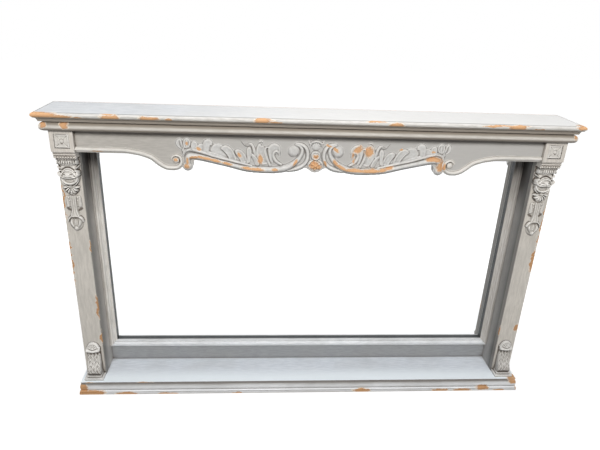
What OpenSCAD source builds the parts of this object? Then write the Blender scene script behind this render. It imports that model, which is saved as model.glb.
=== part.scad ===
// Painted overmantel mirror: two pilasters stand on a moulded base and carry a carved, serpentine
// frieze under a moulded crown, with a framed mirror set back between them.
// Millimetres, +Z up, front towards -Y. The origin is under the middle of the overall box.

/* [Overall] */
// Width over the crown board
crown_w = 1600; // [1500:1:1800]
// Height from the foot of the base to the top of the crown board
total_h = 986; // [900:1:1100]

/* [Crown] */
// Thickness of the crown board
crown_t = 14; // [12:1:22]
// How far the crown board stands out past the head blocks
crown_out = 31; // [30:1:45]
// Height of the moulding under the crown board
bed_h = 41; // [40:1:60]
// Radius of the big round of that moulding
bed_round_r = 13; // [10:0.5:13.5]
// How far the big round stands out past the head blocks
bed_round_out = 18; // [14:0.5:22]
// Height of the hollow under the crown board
bed_cove_h = 9.5; // [7:0.5:11]
// Thickness of the small flat under the hollow
bed_flat_t = 3; // [2:0.5:4]

/* [Frieze] */
// Height of the frieze and the head blocks below the crown moulding
frieze_h = 64; // [58:1:90]
// Distance from the back to the face of the frieze
frieze_d = 130; // [126:1:134]
// Thickness of the frieze board
frieze_t = 20; // [16:1:24]
// Half length of the curved part of the frieze's lower edge, which the carving keeps to
apron_half = 575; // [540:1:600]
// Half width of the raised bead along the frieze's lower edge
bead_half_w = 6.3; // [5:0.1:7]
// Height of that bead above the frieze
bead_relief = 6; // [4:0.5:9]
// Height of the carved scrolls and leaves above the frieze
scroll_relief = 12; // [8:0.5:16]
// Height of the middle cartouche above the frieze
cartouche_relief = 13; // [9:0.5:18]

/* [Head blocks] */
// Distance from the back to the face of the head blocks
head_d = 143; // [140:1:150]
// How far a head block stands out past the side of its pilaster
head_side_out = 1; // [0.5:0.5:3]
// Side of the sunk square in the head block
sunk_w = 43; // [36:1:50]
// Depth of the sunk square
sunk_depth = 3.5; // [2:0.5:6]
// Height of the rosette in the sunk square
rosette_relief = 4.5; // [3:0.5:7]
// Height of the necking moulding and its bead row
necking_h = 21.5; // [19:0.5:24]
// How far the necking stands out from the pilaster
necking_out = 33; // [28:1:35]
// Number of beads in a row under the necking
bead_count = 8; // [6:1:9]

/* [Pilasters] */
// Width of a pilaster
pilaster_w = 66; // [60:1:80]
// Distance from the back to the front of a pilaster
pilaster_d = 106; // [96:1:110]
// Thickness of the boards that a pilaster is boxed from
board_t = 18; // [14:1:22]
// Height of the carved drop above the pilaster
drop_relief = 31; // [26:1:33]

/* [Foot corbels] */
// Width of a foot corbel
corbel_w = 46; // [40:1:52]
// Height from the plinth to the top of the corbel's round cap
corbel_h = 126; // [116:1:140]
// How far the fullest point of the corbel stands out from the pilaster
corbel_out = 33; // [30:0.5:35]
// Height of each of the plinth's two steps
plinth_step_h = 7.5; // [6:0.5:12]
// How far each step stands back from the one below
plinth_step_in = 7.5; // [4:0.5:9]
// How far the plinth's front stands back from the shelf's front edge
plinth_in = 9; // [5:0.5:10]

/* [Mirror] */
// Width of the mirror frame's moulding
frame_w = 26; // [24:1:34]
// Distance from the back to the top of the mirror frame's ridge
frame_d = 36; // [32:1:44]
// Thickness of the glass
glass_t = 4; // [3:0.5:6]
// Distance from the back to the glass's front face
glass_d = 14; // [12:1:16]
// Width of the glass that the frame covers on each edge
rebate_w = 8; // [6:0.5:10]
// Thickness of the backing board
backing_t = 6; // [4:0.5:7]
// Height of the back panel between the shelf and the mirror frame
lower_panel_h = 64; // [50:1:90]
// Height of the back panel between the mirror frame and the crown board
upper_panel_h = 112; // [100:1:125]
// Thickness of the two back panels
panel_t = 19; // [16:1:22]

/* [Base] */
// Height of the shelf's top above the ground
shelf_h = 48; // [44:1:60]
// Thickness of the shelf board
shelf_t = 20; // [18:1:22]
// Thickness of the thin lip round the shelf
shelf_lip_t = 3; // [2:0.5:4]
// Radius of the hollow under the lip
shelf_cove_r = 3.2; // [2.5:0.1:4]
// How far the shelf's lip stands out past the pilasters' sides
shelf_out = 10; // [8:0.5:14]
// How far the foot of the base stands out past the pilasters' sides
base_out = 16.5; // [15:0.5:20]
// Distance from the back to the line that the front mouldings of the base are set out from
base_line_d = 142; // [140:1:148]

/* [Fasteners] */
// Shank diameter of the wood screws
screw_d = 4.5; // [3.5:0.5:6]
// Length of the wood screws
screw_l = 40; // [35:1:50]

/* [Hidden] */
$fn = 48;

paint = "#B9B6AF";
paint_top = "#D9DCDF";
old_wood = "#A98458";
steel = "#8C8F92";
silvered = "#DDE6E9";

// heights above the ground
crown_under = total_h - crown_t;
bed_bottom = crown_under - bed_h;
head_bottom = bed_bottom - frieze_h;
frame_bottom = shelf_h + lower_panel_h;
frame_top = crown_under - upper_panel_h;

// distances out from the middle
head_outer = crown_w / 2 - crown_out;
pilaster_outer = head_outer - head_side_out;
pilaster_inner = pilaster_outer - pilaster_w;
pilaster_mid = pilaster_outer - pilaster_w / 2;

// depths, measured forward from the back
crown_d = head_d + crown_out;
back_y = crown_d / 2;
fit = 0.2;
mitre_reach = 60;

// the y of a plane that lies d forward of the back
function at_depth(d) = back_y - d;

// a smooth curve through hand-placed points, n steps from each to the next
function blend(a, b, c, d, t) =
    0.5 * (2 * b + (c - a) * t + (2 * a - 5 * b + 4 * c - d) * t * t
    + (3 * b - a - 3 * c + d) * t * t * t);
function curve(p, n) = concat(
    [for (i = [0 : len(p) - 2]) for (k = [0 : n - 1])
        blend(p[max(i - 1, 0)], p[i], p[i + 1], p[min(i + 2, len(p) - 1)], k / n)],
    [p[len(p) - 1]]);
function loop(p, n) =
    [for (i = [0 : len(p) - 1]) for (k = [0 : n - 1])
        blend(p[(i + len(p) - 1) % len(p)], p[i], p[(i + 1) % len(p)], p[(i + 2) % len(p)], k / n)];
function unit(v) = v / max(norm(v), 1e-6);
function turn(p) = [for (i = [0 : len(p) - 1]) cross(p[i], p[(i + 1) % len(p)])] * [for (q = p) 1];

// a left piece is the mirror image of the right one
module left() {
    mirror([1, 0, 0]) children();
}

// a flat drawing in x and z, given thickness t forward from the plane at depth d
module standing(d, t) {
    translate([0, at_depth(d), 0]) rotate([90, 0, 0]) linear_extrude(t) children();
}

// carved relief on the face at depth d, with x and z measured from [x, z]
module on_face(d, x, z) {
    translate([x, at_depth(d), z]) rotate([90, 0, 0]) children();
}

// relief worked as one piece and brought to its full height above the face
module carved(height) {
    resize([0, 0, height]) union() children();
}

// One stroke of carving with a domed section. Each point is [x, z, half width, height]; lift stands
// the dome on straight sides, n is the steps per point and m the facets over the dome.
module stroke(points, lift = 0, n = 2, m = 4) {
    p = curve(points, n);
    last = len(p) - 1;
    low = lift > 0 ? 1 : 0;
    per = m + 1 + 2 * low;
    function side(i) =
        let (t = unit([for (k = [0, 1]) p[min(i + 1, last)][k] - p[max(i - 1, 0)][k]]))
        [-t[1], t[0]];
    function spot(i, across, up) =
        let (s = side(i), w = max(p[i][2], 0.3) * across)
        [p[i][0] + s[0] * w, p[i][1] + s[1] * w, up];
    function ring(i) = concat(
        low ? [spot(i, 1, 0)] : [],
        [for (k = [0 : m]) spot(i, cos(180 * k / m), lift + max(p[i][3], 0.3) * sin(180 * k / m))],
        low ? [spot(i, -1, 0)] : []);
    polyhedron(
        points = [for (i = [0 : last]) each ring(i)],
        faces = concat(
            [[for (k = [0 : per - 1]) k]],
            [[for (k = [per - 1 : -1 : 0]) last * per + k]],
            [for (i = [0 : last - 1]) for (k = [0 : per - 1]) for (h = [0, 1])
                let (a = i * per + k, b = i * per + (k + 1) % per)
                h == 0 ? [a, a + per, b + per] : [a, b + per, b]]));
}

// the same stroke on both sides of the middle line
module pair_of_strokes(points, lift = 0, n = 2, m = 4) {
    stroke(points, lift, n, m);
    mirror([1, 0, 0]) stroke(points, lift, n, m);
}

// A leaf that rises to a rim inside its outline and is hollowed towards its middle. The outline is
// a list of [x, z] with no part hidden from the middle, and n is the steps per point.
module leaf(outline, middle, rim, hollow, n = 1) {
    drawn = loop(outline, n);
    edge = turn(drawn) > 0 ? drawn : [for (i = [len(drawn) - 1 : -1 : 0]) drawn[i]];
    c = len(edge);
    polyhedron(
        points = concat(
            [for (q = edge) [q[0], q[1], 0]],
            [for (q = edge) [q[0], q[1], rim * 0.55]],
            [for (q = edge) let (r = middle + 0.8 * (q - middle)) [r[0], r[1], rim]],
            [[middle[0], middle[1], rim - hollow]]),
        faces = concat(
            [[for (k = [0 : c - 1]) k]],
            [for (j = [0, 1]) for (k = [0 : c - 1]) for (h = [0, 1])
                let (a = j * c + k, b = j * c + (k + 1) % c)
                h == 0 ? [a, a + c, b + c] : [a, b + c, b]],
            [for (k = [0 : c - 1]) [3 * c, 2 * c + (k + 1) % c, 2 * c + k]]));
}

// a low dome of radius r and height h at [x, z], on straight sides of height lift
module dome(x, z, r, h, lift = 0, sides = 14) {
    translate([x, z, 0]) rotate_extrude($fn = sides)
        polygon(concat([[0, 0], [r, 0]], [for (a = [0 : 30 : 90]) [r * cos(a), lift + h * sin(a)]]));
}

// Crown: a board with a round nosing on three edges over a mitred moulding

module crown_board() {
    r = crown_t / 2;
    color(paint_top) translate([0, 0, crown_under]) intersection() {
        translate([-crown_w / 2, 0, 0]) rotate([90, 0, 90]) linear_extrude(crown_w) {
            translate([at_depth(crown_d) + r, 0]) square([crown_d - r, crown_t]);
            translate([at_depth(crown_d) + r, r]) circle(r);
        }
        translate([0, back_y, 0]) rotate([90, 0, 0]) linear_extrude(crown_d) {
            translate([-crown_w / 2 + r, 0]) square([crown_w - crown_t, crown_t]);
            for (s = [-1, 1]) translate([s * (crown_w / 2 - r), r]) circle(r);
        }
    }
}

// section of the moulding: x out from the head blocks' face, y up from its foot, back plane at -back
module bed_section(back) {
    cove_out = crown_out - 4;
    flat_top = bed_h - bed_cove_h;
    intersection() {
        union() {
            translate([-back, 0]) square([back + bed_round_out - bed_round_r + 3, bed_h]);
            translate([bed_round_out - bed_round_r, bed_round_r]) circle(bed_round_r);
            translate([-back, flat_top - bed_flat_t]) square([back + cove_out - bed_cove_h, bed_flat_t]);
            difference() {
                translate([-back, flat_top]) square([back + cove_out, bed_cove_h]);
                translate([cove_out, flat_top]) circle(bed_cove_h - 1);
            }
        }
        translate([-back, 0]) square([back + crown_out, bed_h]);
    }
}

// plan of a front length or of a right return, parted on the mitre line through [x, at_depth(d)]
module front_plan(x, d, h) {
    f = at_depth(d);
    linear_extrude(h) polygon([
        [-x - mitre_reach, f - mitre_reach], [x + mitre_reach, f - mitre_reach],
        [x - mitre_reach, f + mitre_reach], [-x + mitre_reach, f + mitre_reach]]);
}

module return_plan(x, d, h) {
    f = at_depth(d);
    linear_extrude(h) polygon([
        [x + mitre_reach, f - mitre_reach], [x + mitre_reach, back_y],
        [x - mitre_reach, back_y], [x - mitre_reach, f + mitre_reach]]);
}

module crown_moulding_front() {
    reach = head_outer + crown_out;
    color(paint) translate([0, 0, bed_bottom]) intersection() {
        translate([-reach, at_depth(head_d), 0]) rotate([90, 0, 90]) linear_extrude(2 * reach)
            mirror([1, 0]) bed_section(head_d - frieze_d);
        front_plan(head_outer, head_d, bed_h);
    }
}

module crown_return_right() {
    color(paint) translate([0, 0, bed_bottom]) intersection() {
        translate([head_outer, back_y, 0]) rotate([90, 0, 0]) linear_extrude(crown_d)
            bed_section(head_side_out);
        return_plan(head_outer, head_d, bed_h);
    }
}

module crown_return_left() {
    left() crown_return_right();
}

// Frieze: a board whose lower edge is cut to an S-curve, with a bead, scrolls, leaves and a cartouche.
// The carving is set out from the middle and from the frieze's straight lower edge, at the size that
// suits a curved part apron_drawn long on each side, and is brought to the real length by apron_k.

apron_drawn = 575;
apron_k = apron_half / apron_drawn;
apron_edge = [
    [575, 0], [545, -2.5], [520, -8], [487, -19.5], [467, -34.5], [453, -44], [440, -49.5],
    [424, -51.5], [410, -49.5], [399, -43], [393, -46], [382, -51.5], [371, -47], [366, -38],
    [365, -27], [359, -19], [343, -16.5], [320, -19.5], [287, -27], [253, -37.5], [220, -46.5],
    [187, -52], [153, -54], [120, -53], [87, -49.5], [55, -43.5], [32, -37.5], [21, -42],
    [10, -49.5], [0, -51.5]
];
tenon_l = frieze_t * 0.6;
tenon_t = frieze_t * 0.45;
tenon_h = (frieze_h + bed_h) * 0.66;

module apron_carved(height) {
    color(paint) on_face(frieze_d, 0, head_bottom) carved(height) scale(apron_k) children();
}

module frieze_board() {
    half = curve(apron_edge, 4) * apron_k;
    back_d = frieze_d - frieze_t;
    frieze_top = frieze_h + bed_h;
    other_half = [for (i = [len(half) - 2 : -1 : 0]) [-half[i][0], half[i][1]]];
    color(paint) translate([0, 0, head_bottom]) {
        standing(back_d, frieze_t) polygon(concat(
            [[-pilaster_inner, frieze_top], [pilaster_inner, frieze_top], [pilaster_inner, 0]],
            half, other_half, [[-pilaster_inner, 0]]));
        for (s = [-1, 1])
            translate([s * (pilaster_inner + tenon_l / 2), 0, 0])
                standing(back_d + (frieze_t - tenon_t) / 2, tenon_t)
                    translate([-tenon_l / 2, (frieze_top - tenon_h) / 2]) square([tenon_l, tenon_h]);
    }
}

// the bead follows the lower edge and curls up into a small volute with a button
module apron_bead_right() {
    w = bead_half_w / apron_k;
    run = curve([
        [590, w, w, 6], [560, w - 0.8, w, 6], [538, w - 4, w, 6], [518, -1.5, w, 6],
        [488, -12, w, 6], [468, -27.5, w, 6], [454, -37.5, w, 6], [441, -43, w, 6],
        [425, -44.5, 6, 6], [411, -41.5, 5.6, 6], [402, -33, 5, 6], [399.5, -21, 4.6, 6],
        [404, -10.5, 4.2, 6], [414, -6, 4, 6], [424, -9, 3.4, 6], [430, -17, 2, 4]
    ], 3);
    start = [[pilaster_inner / apron_k, w, w, 6]];
    apron_carved(bead_relief) {
        stroke(concat(start, run), n = 1);
        dome(415, -19, 8, 5.5);
    }
}

module apron_bead_left() {
    left() apron_bead_right();
}

module apron_carving_right() {
    apron_carved(scroll_relief) {
        // roll from the scroll end beside the volute along the edge, up and over into the middle volute
        dome(382, -37, 13, 10, 0, 16);
        stroke([[382, -36, 9, 9], [381, -24, 9, 10], [381, -13, 9, 11], [374, -7, 10, 12],
            [362, -6, 10, 12], [340, -9, 9.5, 12], [303, -17.5, 9, 12], [265, -26.5, 8.4, 12],
            [236, -34, 8.4, 12], [203, -41, 9, 12], [160, -43.5, 9.6, 12], [120, -43, 9.6, 12],
            [90, -37, 10.5, 12], [70, -26, 10, 11], [54, -12, 8, 10], [44, 4, 7, 10], [42, 19, 6.5, 10],
            [50, 31, 5, 9], [63, 35, 3, 6]], m = 5);
        // second band along the top of the roll
        stroke([[392, -6, 3.5, 6], [388, 6, 5.5, 8], [374, 13, 6.5, 9], [352, 10, 7, 9],
            [330, 4, 6.5, 9], [300, -5.5, 6, 9], [260, -15.5, 5.5, 9], [222, -25, 4.5, 8],
            [192, -32, 3, 6]], m = 3);
        // ruffled end leaf in three lobes, and the smooth leaf that trails from it
        leaf([[392, 4], [399, 12], [407, 18], [413, 26], [414, 35], [409, 43], [402, 46], [396, 41],
            [394, 30], [389, 16]], [402, 27], 10, 4);
        leaf([[388, 16], [393, 26], [393, 38], [387, 46], [379, 47], [372, 40], [371, 29],
            [376, 19]], [382, 32], 10.5, 4);
        leaf([[370, 18], [370, 30], [364, 39], [355, 37], [350, 29], [352, 20], [360, 15]],
            [361, 27], 9, 3);
        leaf([[358, 14], [353, 25], [344, 31], [335, 31], [330, 23], [331, 12], [338, 7], [350, 8]],
            [343, 19], 8, 2.5);
        // broad smooth leaf with a turned tip and a long tail
        leaf([[333, 4], [336, 18], [336, 31], [332, 41], [324, 46], [315, 45], [308, 39], [307, 31],
            [313, 26], [316, 16], [320, 4]], [324, 25], 10.5, 2);
        dome(311, 30, 4, 8, 3, 10);
        stroke([[320, 6, 4, 7], [303, 1, 5, 8], [285, -5, 4, 7], [264, -11, 1.5, 4]]);
        // two leaves that lean over like breaking waves
        leaf([[285, 17], [280, 25], [271, 29], [261, 27], [252, 20], [245, 9], [240, -4], [238, -17],
            [256, -17], [263, -6], [270, 3], [277, 10]], [260, 9], 10, 4.5);
        leaf([[243, 10], [238, 17], [230, 18], [221, 14], [213, 5], [207, -8], [205, -22], [221, -25],
            [229, -14], [236, -3]], [226, -2], 9.5, 4.5);
        // wavy crest, the leaf below it and their two lobes
        stroke([[227, 43, 1.5, 4], [219, 36, 3.2, 7], [212, 31, 4, 8], [205, 31, 4.4, 9],
            [198, 36, 5.2, 10], [190, 36, 5.5, 10], [184, 28, 4, 8]]);
        leaf([[193, 41], [184, 39], [178, 28], [175, 14], [172, 0], [184, 0], [189, 12], [192, 26]],
            [184, 20], 9.5, 3);
        leaf([[208, 10], [207, 19], [201, 25], [194, 21], [192, 9], [194, -6], [196, -22], [208, -26],
            [206, -8]], [200, 5], 8.5, 2);
        stroke([[191, -1, 3, 6], [184, -5, 6, 9], [178, -14, 8, 9.5], [173, -27, 8, 9]]);
        // broad hollowed leaf with two tips
        leaf([[179, -2], [180, 13], [177, 27], [172, 35], [166, 36], [162, 30], [158, 32], [154, 24],
            [153, 8], [148, -8], [142, -24], [162, -30], [172, -16]], [165, 6], 9.5, 4);
        // hooked leaf, the big rounded leaf and the crook that stands before it
        stroke([[137, -30, 4, 6], [144, -14, 4.6, 9], [149.5, 3, 4.6, 10], [152, 16, 4.4, 10],
            [149, 24, 3.8, 9], [143, 24, 2.6, 7]]);
        leaf([[135, -22], [141, -6], [144, 10], [144, 24], [138, 33], [129, 38], [118, 37], [110, 31],
            [106, 22], [108, 12], [118, 12], [125, 7], [127, -9], [125, -24]], [132, 20], 9, 2);
        stroke([[111, -1, 3, 6], [112, 9, 4.6, 10], [119, 15, 5, 11], [126.5, 9, 5, 11],
            [126, -4, 5, 11], [118, -17, 5.4, 10], [104, -26, 5, 8]]);
        // button of the middle volute, and the outer band that frames the middle
        dome(66, 15, 18, 9.5, 0, 18);
        stroke([[60, 38, 3, 5], [46, 36, 5, 9], [33, 28, 6, 11], [25.5, 14, 6.3, 11],
            [24.5, -3, 6.3, 11], [29, -18, 6.2, 11], [40, -30, 6, 10], [58, -39, 6, 9], [84, -46, 3, 6]],
            m = 3);
    }
}

module apron_carving_left() {
    left() apron_carving_right();
}

module apron_cartouche() {
    apron_carved(cartouche_relief) {
        // shell under a hood, with a horn on each side
        leaf([for (a = [0 : 30 : 330]) [14 * cos(a), 31 + 14 * sin(a)]], [0, 31], 8, 3);
        stroke([[-18, 30, 2.5, 6], [-14, 41, 4, 9], [0, 46, 4.6, 10], [14, 41, 4, 9], [18, 30, 2.5, 6]]);
        // round boss with a raised eye
        dome(0, 3, 16, 9, 0, 20);
        dome(0, 3, 8, 4, 9, 16);
        // flower boss at the foot, between two short wings
        dome(0, -30, 7, 6, 7);
        for (a = [0 : 60 : 300])
            stroke([[4 * sin(a), -30 + 4 * cos(a), 3, 7], [10 * sin(a), -30 + 10 * cos(a), 5.4, 9],
                [15.5 * sin(a), -30 + 15.5 * cos(a), 3, 5]], n = 1);
    }
}

// Head block with its sunk square, the rosette and the necking

module head_block_right() {
    mid_z = head_bottom + frieze_h / 2;
    color(paint) difference() {
        union() {
            translate([pilaster_inner, 0, head_bottom])
                standing(pilaster_d, head_d - pilaster_d) square([head_outer - pilaster_inner, frieze_h]);
            translate([pilaster_inner, 0, bed_bottom])
                standing(pilaster_d, frieze_d - pilaster_d) square([pilaster_w, bed_h]);
        }
        translate([pilaster_mid - sunk_w / 2, 0, mid_z - sunk_w / 2])
            standing(head_d - sunk_depth, sunk_depth + 1) square(sunk_w);
        translate([pilaster_inner - 1, 0, head_bottom + (frieze_h + bed_h - tenon_h) / 2 - fit])
            standing(frieze_d - frieze_t + (frieze_t - tenon_t) / 2 - fit, tenon_t + 2 * fit)
                square([tenon_l + 1 + fit, tenon_h + 2 * fit]);
    }
}

module head_block_left() {
    left() head_block_right();
}

module rosette_right() {
    drawn_w = 43;
    color(paint) on_face(head_d - sunk_depth, pilaster_mid, head_bottom + frieze_h / 2)
        carved(rosette_relief) scale(sunk_w / drawn_w) {
            for (a = [45 : 90 : 315]) rotate([0, 0, a])
                stroke([[3, 0, 2, 2.6], [9, 0, 6, 3.6], [16, 0, 6, 3.4], [23, 0, 1, 1.4]], n = 1);
            for (a = [0 : 90 : 270]) rotate([0, 0, a])
                stroke([[4, 0, 1.6, 2], [12, 0, 3, 2.8], [18, 0, 1, 1.2]], n = 1);
            dome(0, 0, 4.2, 4.5, 0, 12);
        }
}

module rosette_left() {
    left() rosette_right();
}

module necking_right() {
    wide = pilaster_w - 2;
    bead_pitch = wide / (bead_count + 0.4);
    bead_r = bead_pitch * 0.47;
    core = necking_out - bead_r;
    top_h = necking_h * 0.2;
    round_r = necking_h * 0.16;
    face = at_depth(pilaster_d + core);
    color(paint) translate([pilaster_inner + 1, 0, head_bottom]) {
        translate([0, 0, -top_h]) standing(pilaster_d, necking_out) square([wide, top_h]);
        translate([0, 0, -necking_h]) standing(pilaster_d, core) square([wide, necking_h]);
        translate([0, face, -top_h * 1.3 - round_r])
            rotate([90, 0, 90]) linear_extrude(wide) circle(round_r);
        for (i = [0 : bead_count - 1])
            translate([bead_pitch * (i + 0.7), face, -necking_h * 0.98 + bead_r]) sphere(bead_r);
    }
}

module necking_left() {
    left() necking_right();
}

// Carved drop: leaf band, shell, bowl, palmette, husk stem and bud. z is measured from the head block.

drop_drawn_w = 66;

module pilaster_drop_right() {
    drop_k = pilaster_w / drop_drawn_w;
    top = -necking_h / drop_k;
    color(paint) on_face(pilaster_d, pilaster_mid, head_bottom) carved(drop_relief) scale(drop_k) {
        // swelling body behind the leaf band and the shell
        stroke([[0, top, 30, 24], [0, top - 10, 29.5, 24], [0, top - 20, 27, 19], [0, top - 27, 27, 18],
            [0, top - 36, 30, 23], [0, top - 48, 32, 26], [0, top - 58, 31, 24], [0, top - 62, 27, 17]],
            n = 1, m = 5);
        // leaf band
        for (x = [-24 : 12 : 24])
            stroke([[x * 0.85, top, 4.5, 6], [x * 0.98, top - 12, 5.6, 8],
                [x * 1.18, top - 24, 1.5, 3]], lift = 21 - abs(x) / 4, n = 1, m = 3);
        pair_of_strokes([[20, -52, 3, 5], [27, -53, 4, 6], [32, -49, 1.5, 3]], lift = 12, n = 1, m = 3);
        // shell with a scroll on each side and a lip below
        for (a = [-72 : 36 : 72])
            stroke([[4 * sin(a), -78 + 4 * cos(a), 2.5, 5], [12 * sin(a), -78 + 14 * cos(a), 4, 6],
                [17 * sin(a), -78 + 22 * cos(a), 2, 3]], lift = 25 - abs(a) / 14, n = 1, m = 3);
        for (s = [-1, 1]) dome(s * 24, -75, 8, 7, 20, 9);
        stroke([[-31, -78, 3, 6], [-17, -85, 4.4, 8], [0, -87, 4.6, 9], [17, -85, 4.4, 8],
            [31, -78, 3, 6]], lift = 17, n = 1, m = 3);
        // crescent bowl with its rim
        stroke([[0, -88, 25, 17], [0, -96, 24, 17], [0, -104, 16, 15], [0, -110, 4, 9]], n = 1, m = 5);
        stroke([[-24, -90, 2.4, 4], [-20, -101, 3, 6], [-11, -107.5, 3, 6], [0, -109.5, 3, 6],
            [11, -107.5, 3, 6], [20, -101, 3, 6], [24, -90, 2.4, 4]], lift = 10, n = 1, m = 3);
        // palmette of seven lobes and two curls
        for (a = [-84 : 28 : 84])
            stroke([[5 * sin(a), -114 - 5 * cos(a), 2.4, 5], [20 * sin(a), -114 - 20 * cos(a), 5, 8],
                [27.5 * sin(a), -114 - 27.5 * cos(a), 2.4, 4]], lift = 8, n = 1, m = 3);
        dome(0, -114, 5, 6, 12, 10);
        pair_of_strokes([[6, -112, 2.4, 6], [16, -106, 3.4, 7], [24, -107, 3, 6], [25, -112, 1.5, 4]],
            lift = 7, n = 1, m = 3);
        // berries, husk and fluted stem
        for (s = [-1, 1]) {
            dome(s * 13, -148, 4, 7, 0, 10);
            dome(s * 11.5, -157, 3.2, 6, 0, 10);
        }
        stroke([[0, -136, 10, 7], [0, -174, 10, 7], [0, -205, 13, 6.5], [0, -217, 15, 6]], n = 1, m = 3);
        for (x = [-5.5, 0, 5.5])
            stroke([[x, -138, 2.6, 9], [x, -174, 2.8, 9], [x * 1.7, -216, 3.4, 9]], n = 1, m = 3);
        pair_of_strokes([[12, -162, 2, 3], [16, -166, 4.5, 5], [17.5, -174, 5.5, 5.5],
            [16.5, -180, 5, 5]], n = 1, m = 3);
        pair_of_strokes([[9, -194, 1.5, 4], [13, -207, 3, 6], [18, -219, 4, 7], [21, -227, 2.5, 5]], n = 1, m = 3);
        // curved collar over the bud
        stroke([[-22.5, -231, 2.2, 8], [-20.5, -221, 3.6, 11], [-11, -215, 3.8, 12], [0, -213.5, 3.8, 12],
            [11, -215, 3.8, 12], [20.5, -221, 3.6, 11], [22.5, -231, 2.2, 8]], n = 1, m = 3);
        // bud with three flutes and a knob at its point
        stroke([[0, -216, 13, 8], [0, -225, 19.5, 11], [0, -237, 18.5, 12], [0, -248, 12.5, 11],
            [0, -256, 6, 8], [0, -261, 1, 2]], n = 1, m = 5);
        for (x = [-9, 0, 9])
            stroke([[x, -218, 3, 4], [x * 1.1, -230, 4, 5], [x * 0.9, -243, 3, 4]], lift = 8, n = 1, m = 3);
        dome(0, -249, 7, 6, 8, 10);
    }
}

module pilaster_drop_left() {
    left() pilaster_drop_right();
}

// Pilaster: a front board and two side boards, glued up as a box that stands on the shelf

module pilaster_front_right() {
    color(paint) translate([pilaster_inner, 0, shelf_h]) difference() {
        standing(pilaster_d - board_t, board_t) square([pilaster_w, crown_under - shelf_h]);
        for (x = pilaster_screw_x) translate([x, at_depth(pilaster_d - board_t / 2), -1])
            cylinder(d = screw_d + fit, h = screw_l - screw_head_t - shelf_t / 2);
    }
}

module pilaster_front_left() {
    left() pilaster_front_right();
}

module pilaster_board(x) {
    translate([x, 0, shelf_h])
        standing(0, pilaster_d - board_t) square([board_t, crown_under - shelf_h]);
}

module pilaster_reveal_right() {
    color(paint) difference() {
        pilaster_board(pilaster_inner);
        panel_screw_places() screw_bore(0.2);
    }
}

module pilaster_reveal_left() {
    left() pilaster_reveal_right();
}

module pilaster_side_right() {
    color(paint) pilaster_board(pilaster_outer - board_t);
}

module pilaster_side_left() {
    left() pilaster_side_right();
}

module pilaster_glue_blocks() {
    leg = 12;
    long = 60;
    gap = (crown_under - shelf_h) / 5;
    color(old_wood) for (m = [0, 1]) mirror([m, 0, 0]) for (k = [1 : 4]) {
        z = shelf_h + k * gap - long / 2;
        translate([pilaster_outer - board_t, at_depth(pilaster_d - board_t), z])
            linear_extrude(long) polygon([[0, 0], [-leg, 0], [0, leg]]);
    }
}

// Foot corbel: leaf body that swells forward to its foot, a ruffled lip and a domed cap, on a plinth

plinth_top = shelf_h + 2 * plinth_step_h;
plinth_d = base_line_d + shelf_out - plinth_in;

// side outline of the corbel's body: x out from the pilaster, y up from the plinth
module corbel_profile(grow) {
    lip_y = corbel_h - corbel_w * 0.78;
    swell_r = corbel_out * 0.48 + grow;
    waist = corbel_out * 0.2;
    foot = corbel_out - swell_r * 0.55;
    translate([corbel_out - corbel_out * 0.48, corbel_out * 0.48]) circle(swell_r);
    difference() {
        square([corbel_out - 2, lip_y]);
        translate([waist + lip_y * 1.6 + grow, lip_y * 1.1]) circle(lip_y * 1.6, $fn = 120);
        translate([foot, -1]) square([corbel_out, corbel_out * 0.48]);
    }
}

module foot_corbel_right() {
    r = corbel_w / 2;
    lip_y = corbel_h - corbel_w * 0.78;
    lip_r = corbel_w * 0.1;
    lip_out = corbel_out * 0.47;
    lip_h = r - lip_r;
    rib_w = corbel_w * 0.16;
    cap_y = corbel_h - r;
    color(paint) translate([pilaster_mid, at_depth(pilaster_d), plinth_top]) {
        // body with a raised rib down its middle and one at each side
        intersection() {
            union() {
                translate([-r, 0, 0]) rotate([90, 0, 90]) linear_extrude(corbel_w)
                    mirror([1, 0]) corbel_profile(-1.6);
                for (x = [-r, -rib_w / 2, r - rib_w])
                    translate([x, 0, 0]) rotate([90, 0, 90]) linear_extrude(rib_w)
                        mirror([1, 0]) corbel_profile(0);
            }
            translate([-r, -2 * corbel_out, 0]) cube([corbel_w, 2 * corbel_out, corbel_h]);
        }
        // ruffled lip
        translate([-r, 0, lip_y - lip_r / 2]) rotate([90, 0, 90]) linear_extrude(corbel_w)
            mirror([1, 0]) {
                square([lip_out, lip_h]);
                translate([lip_out, lip_h / 2]) circle(lip_r);
            }
        for (i = [-2 : 2])
            translate([i * (corbel_w - 2 * lip_r) / 4, -lip_out - lip_r * 0.3, lip_y + lip_r * 0.7])
                sphere(lip_r);
        // domed cap: half a disc on the pilaster, rounded towards the front
        translate([0, 0, cap_y]) intersection() {
            rotate([90, 0, 0]) cylinder(r = r, h = corbel_out);
            translate([0, r, -r / 3]) sphere(r * 1.75);
            translate([-r, -corbel_out, -lip_r]) cube([corbel_w, corbel_out, corbel_w]);
        }
    }
}

module foot_corbel_left() {
    left() foot_corbel_right();
}

module plinth_right() {
    color(paint) for (k = [0, 1]) {
        in = k * plinth_step_in;
        translate([pilaster_inner + in + 1, 0, shelf_h + k * plinth_step_h])
            standing(pilaster_d, plinth_d - pilaster_d - in)
                square([pilaster_w - 2 * in - 2, plinth_step_h]);
    }
}

module plinth_left() {
    left() plinth_right();
}

// Mirror: a mitred frame with a rebate for the glass, its backing and battens

frame_half_w = pilaster_inner - fit;
frame_h = frame_top - frame_bottom;
frame_mid_z = (frame_top + frame_bottom) / 2;
sight_d = frame_d - 9;

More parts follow.
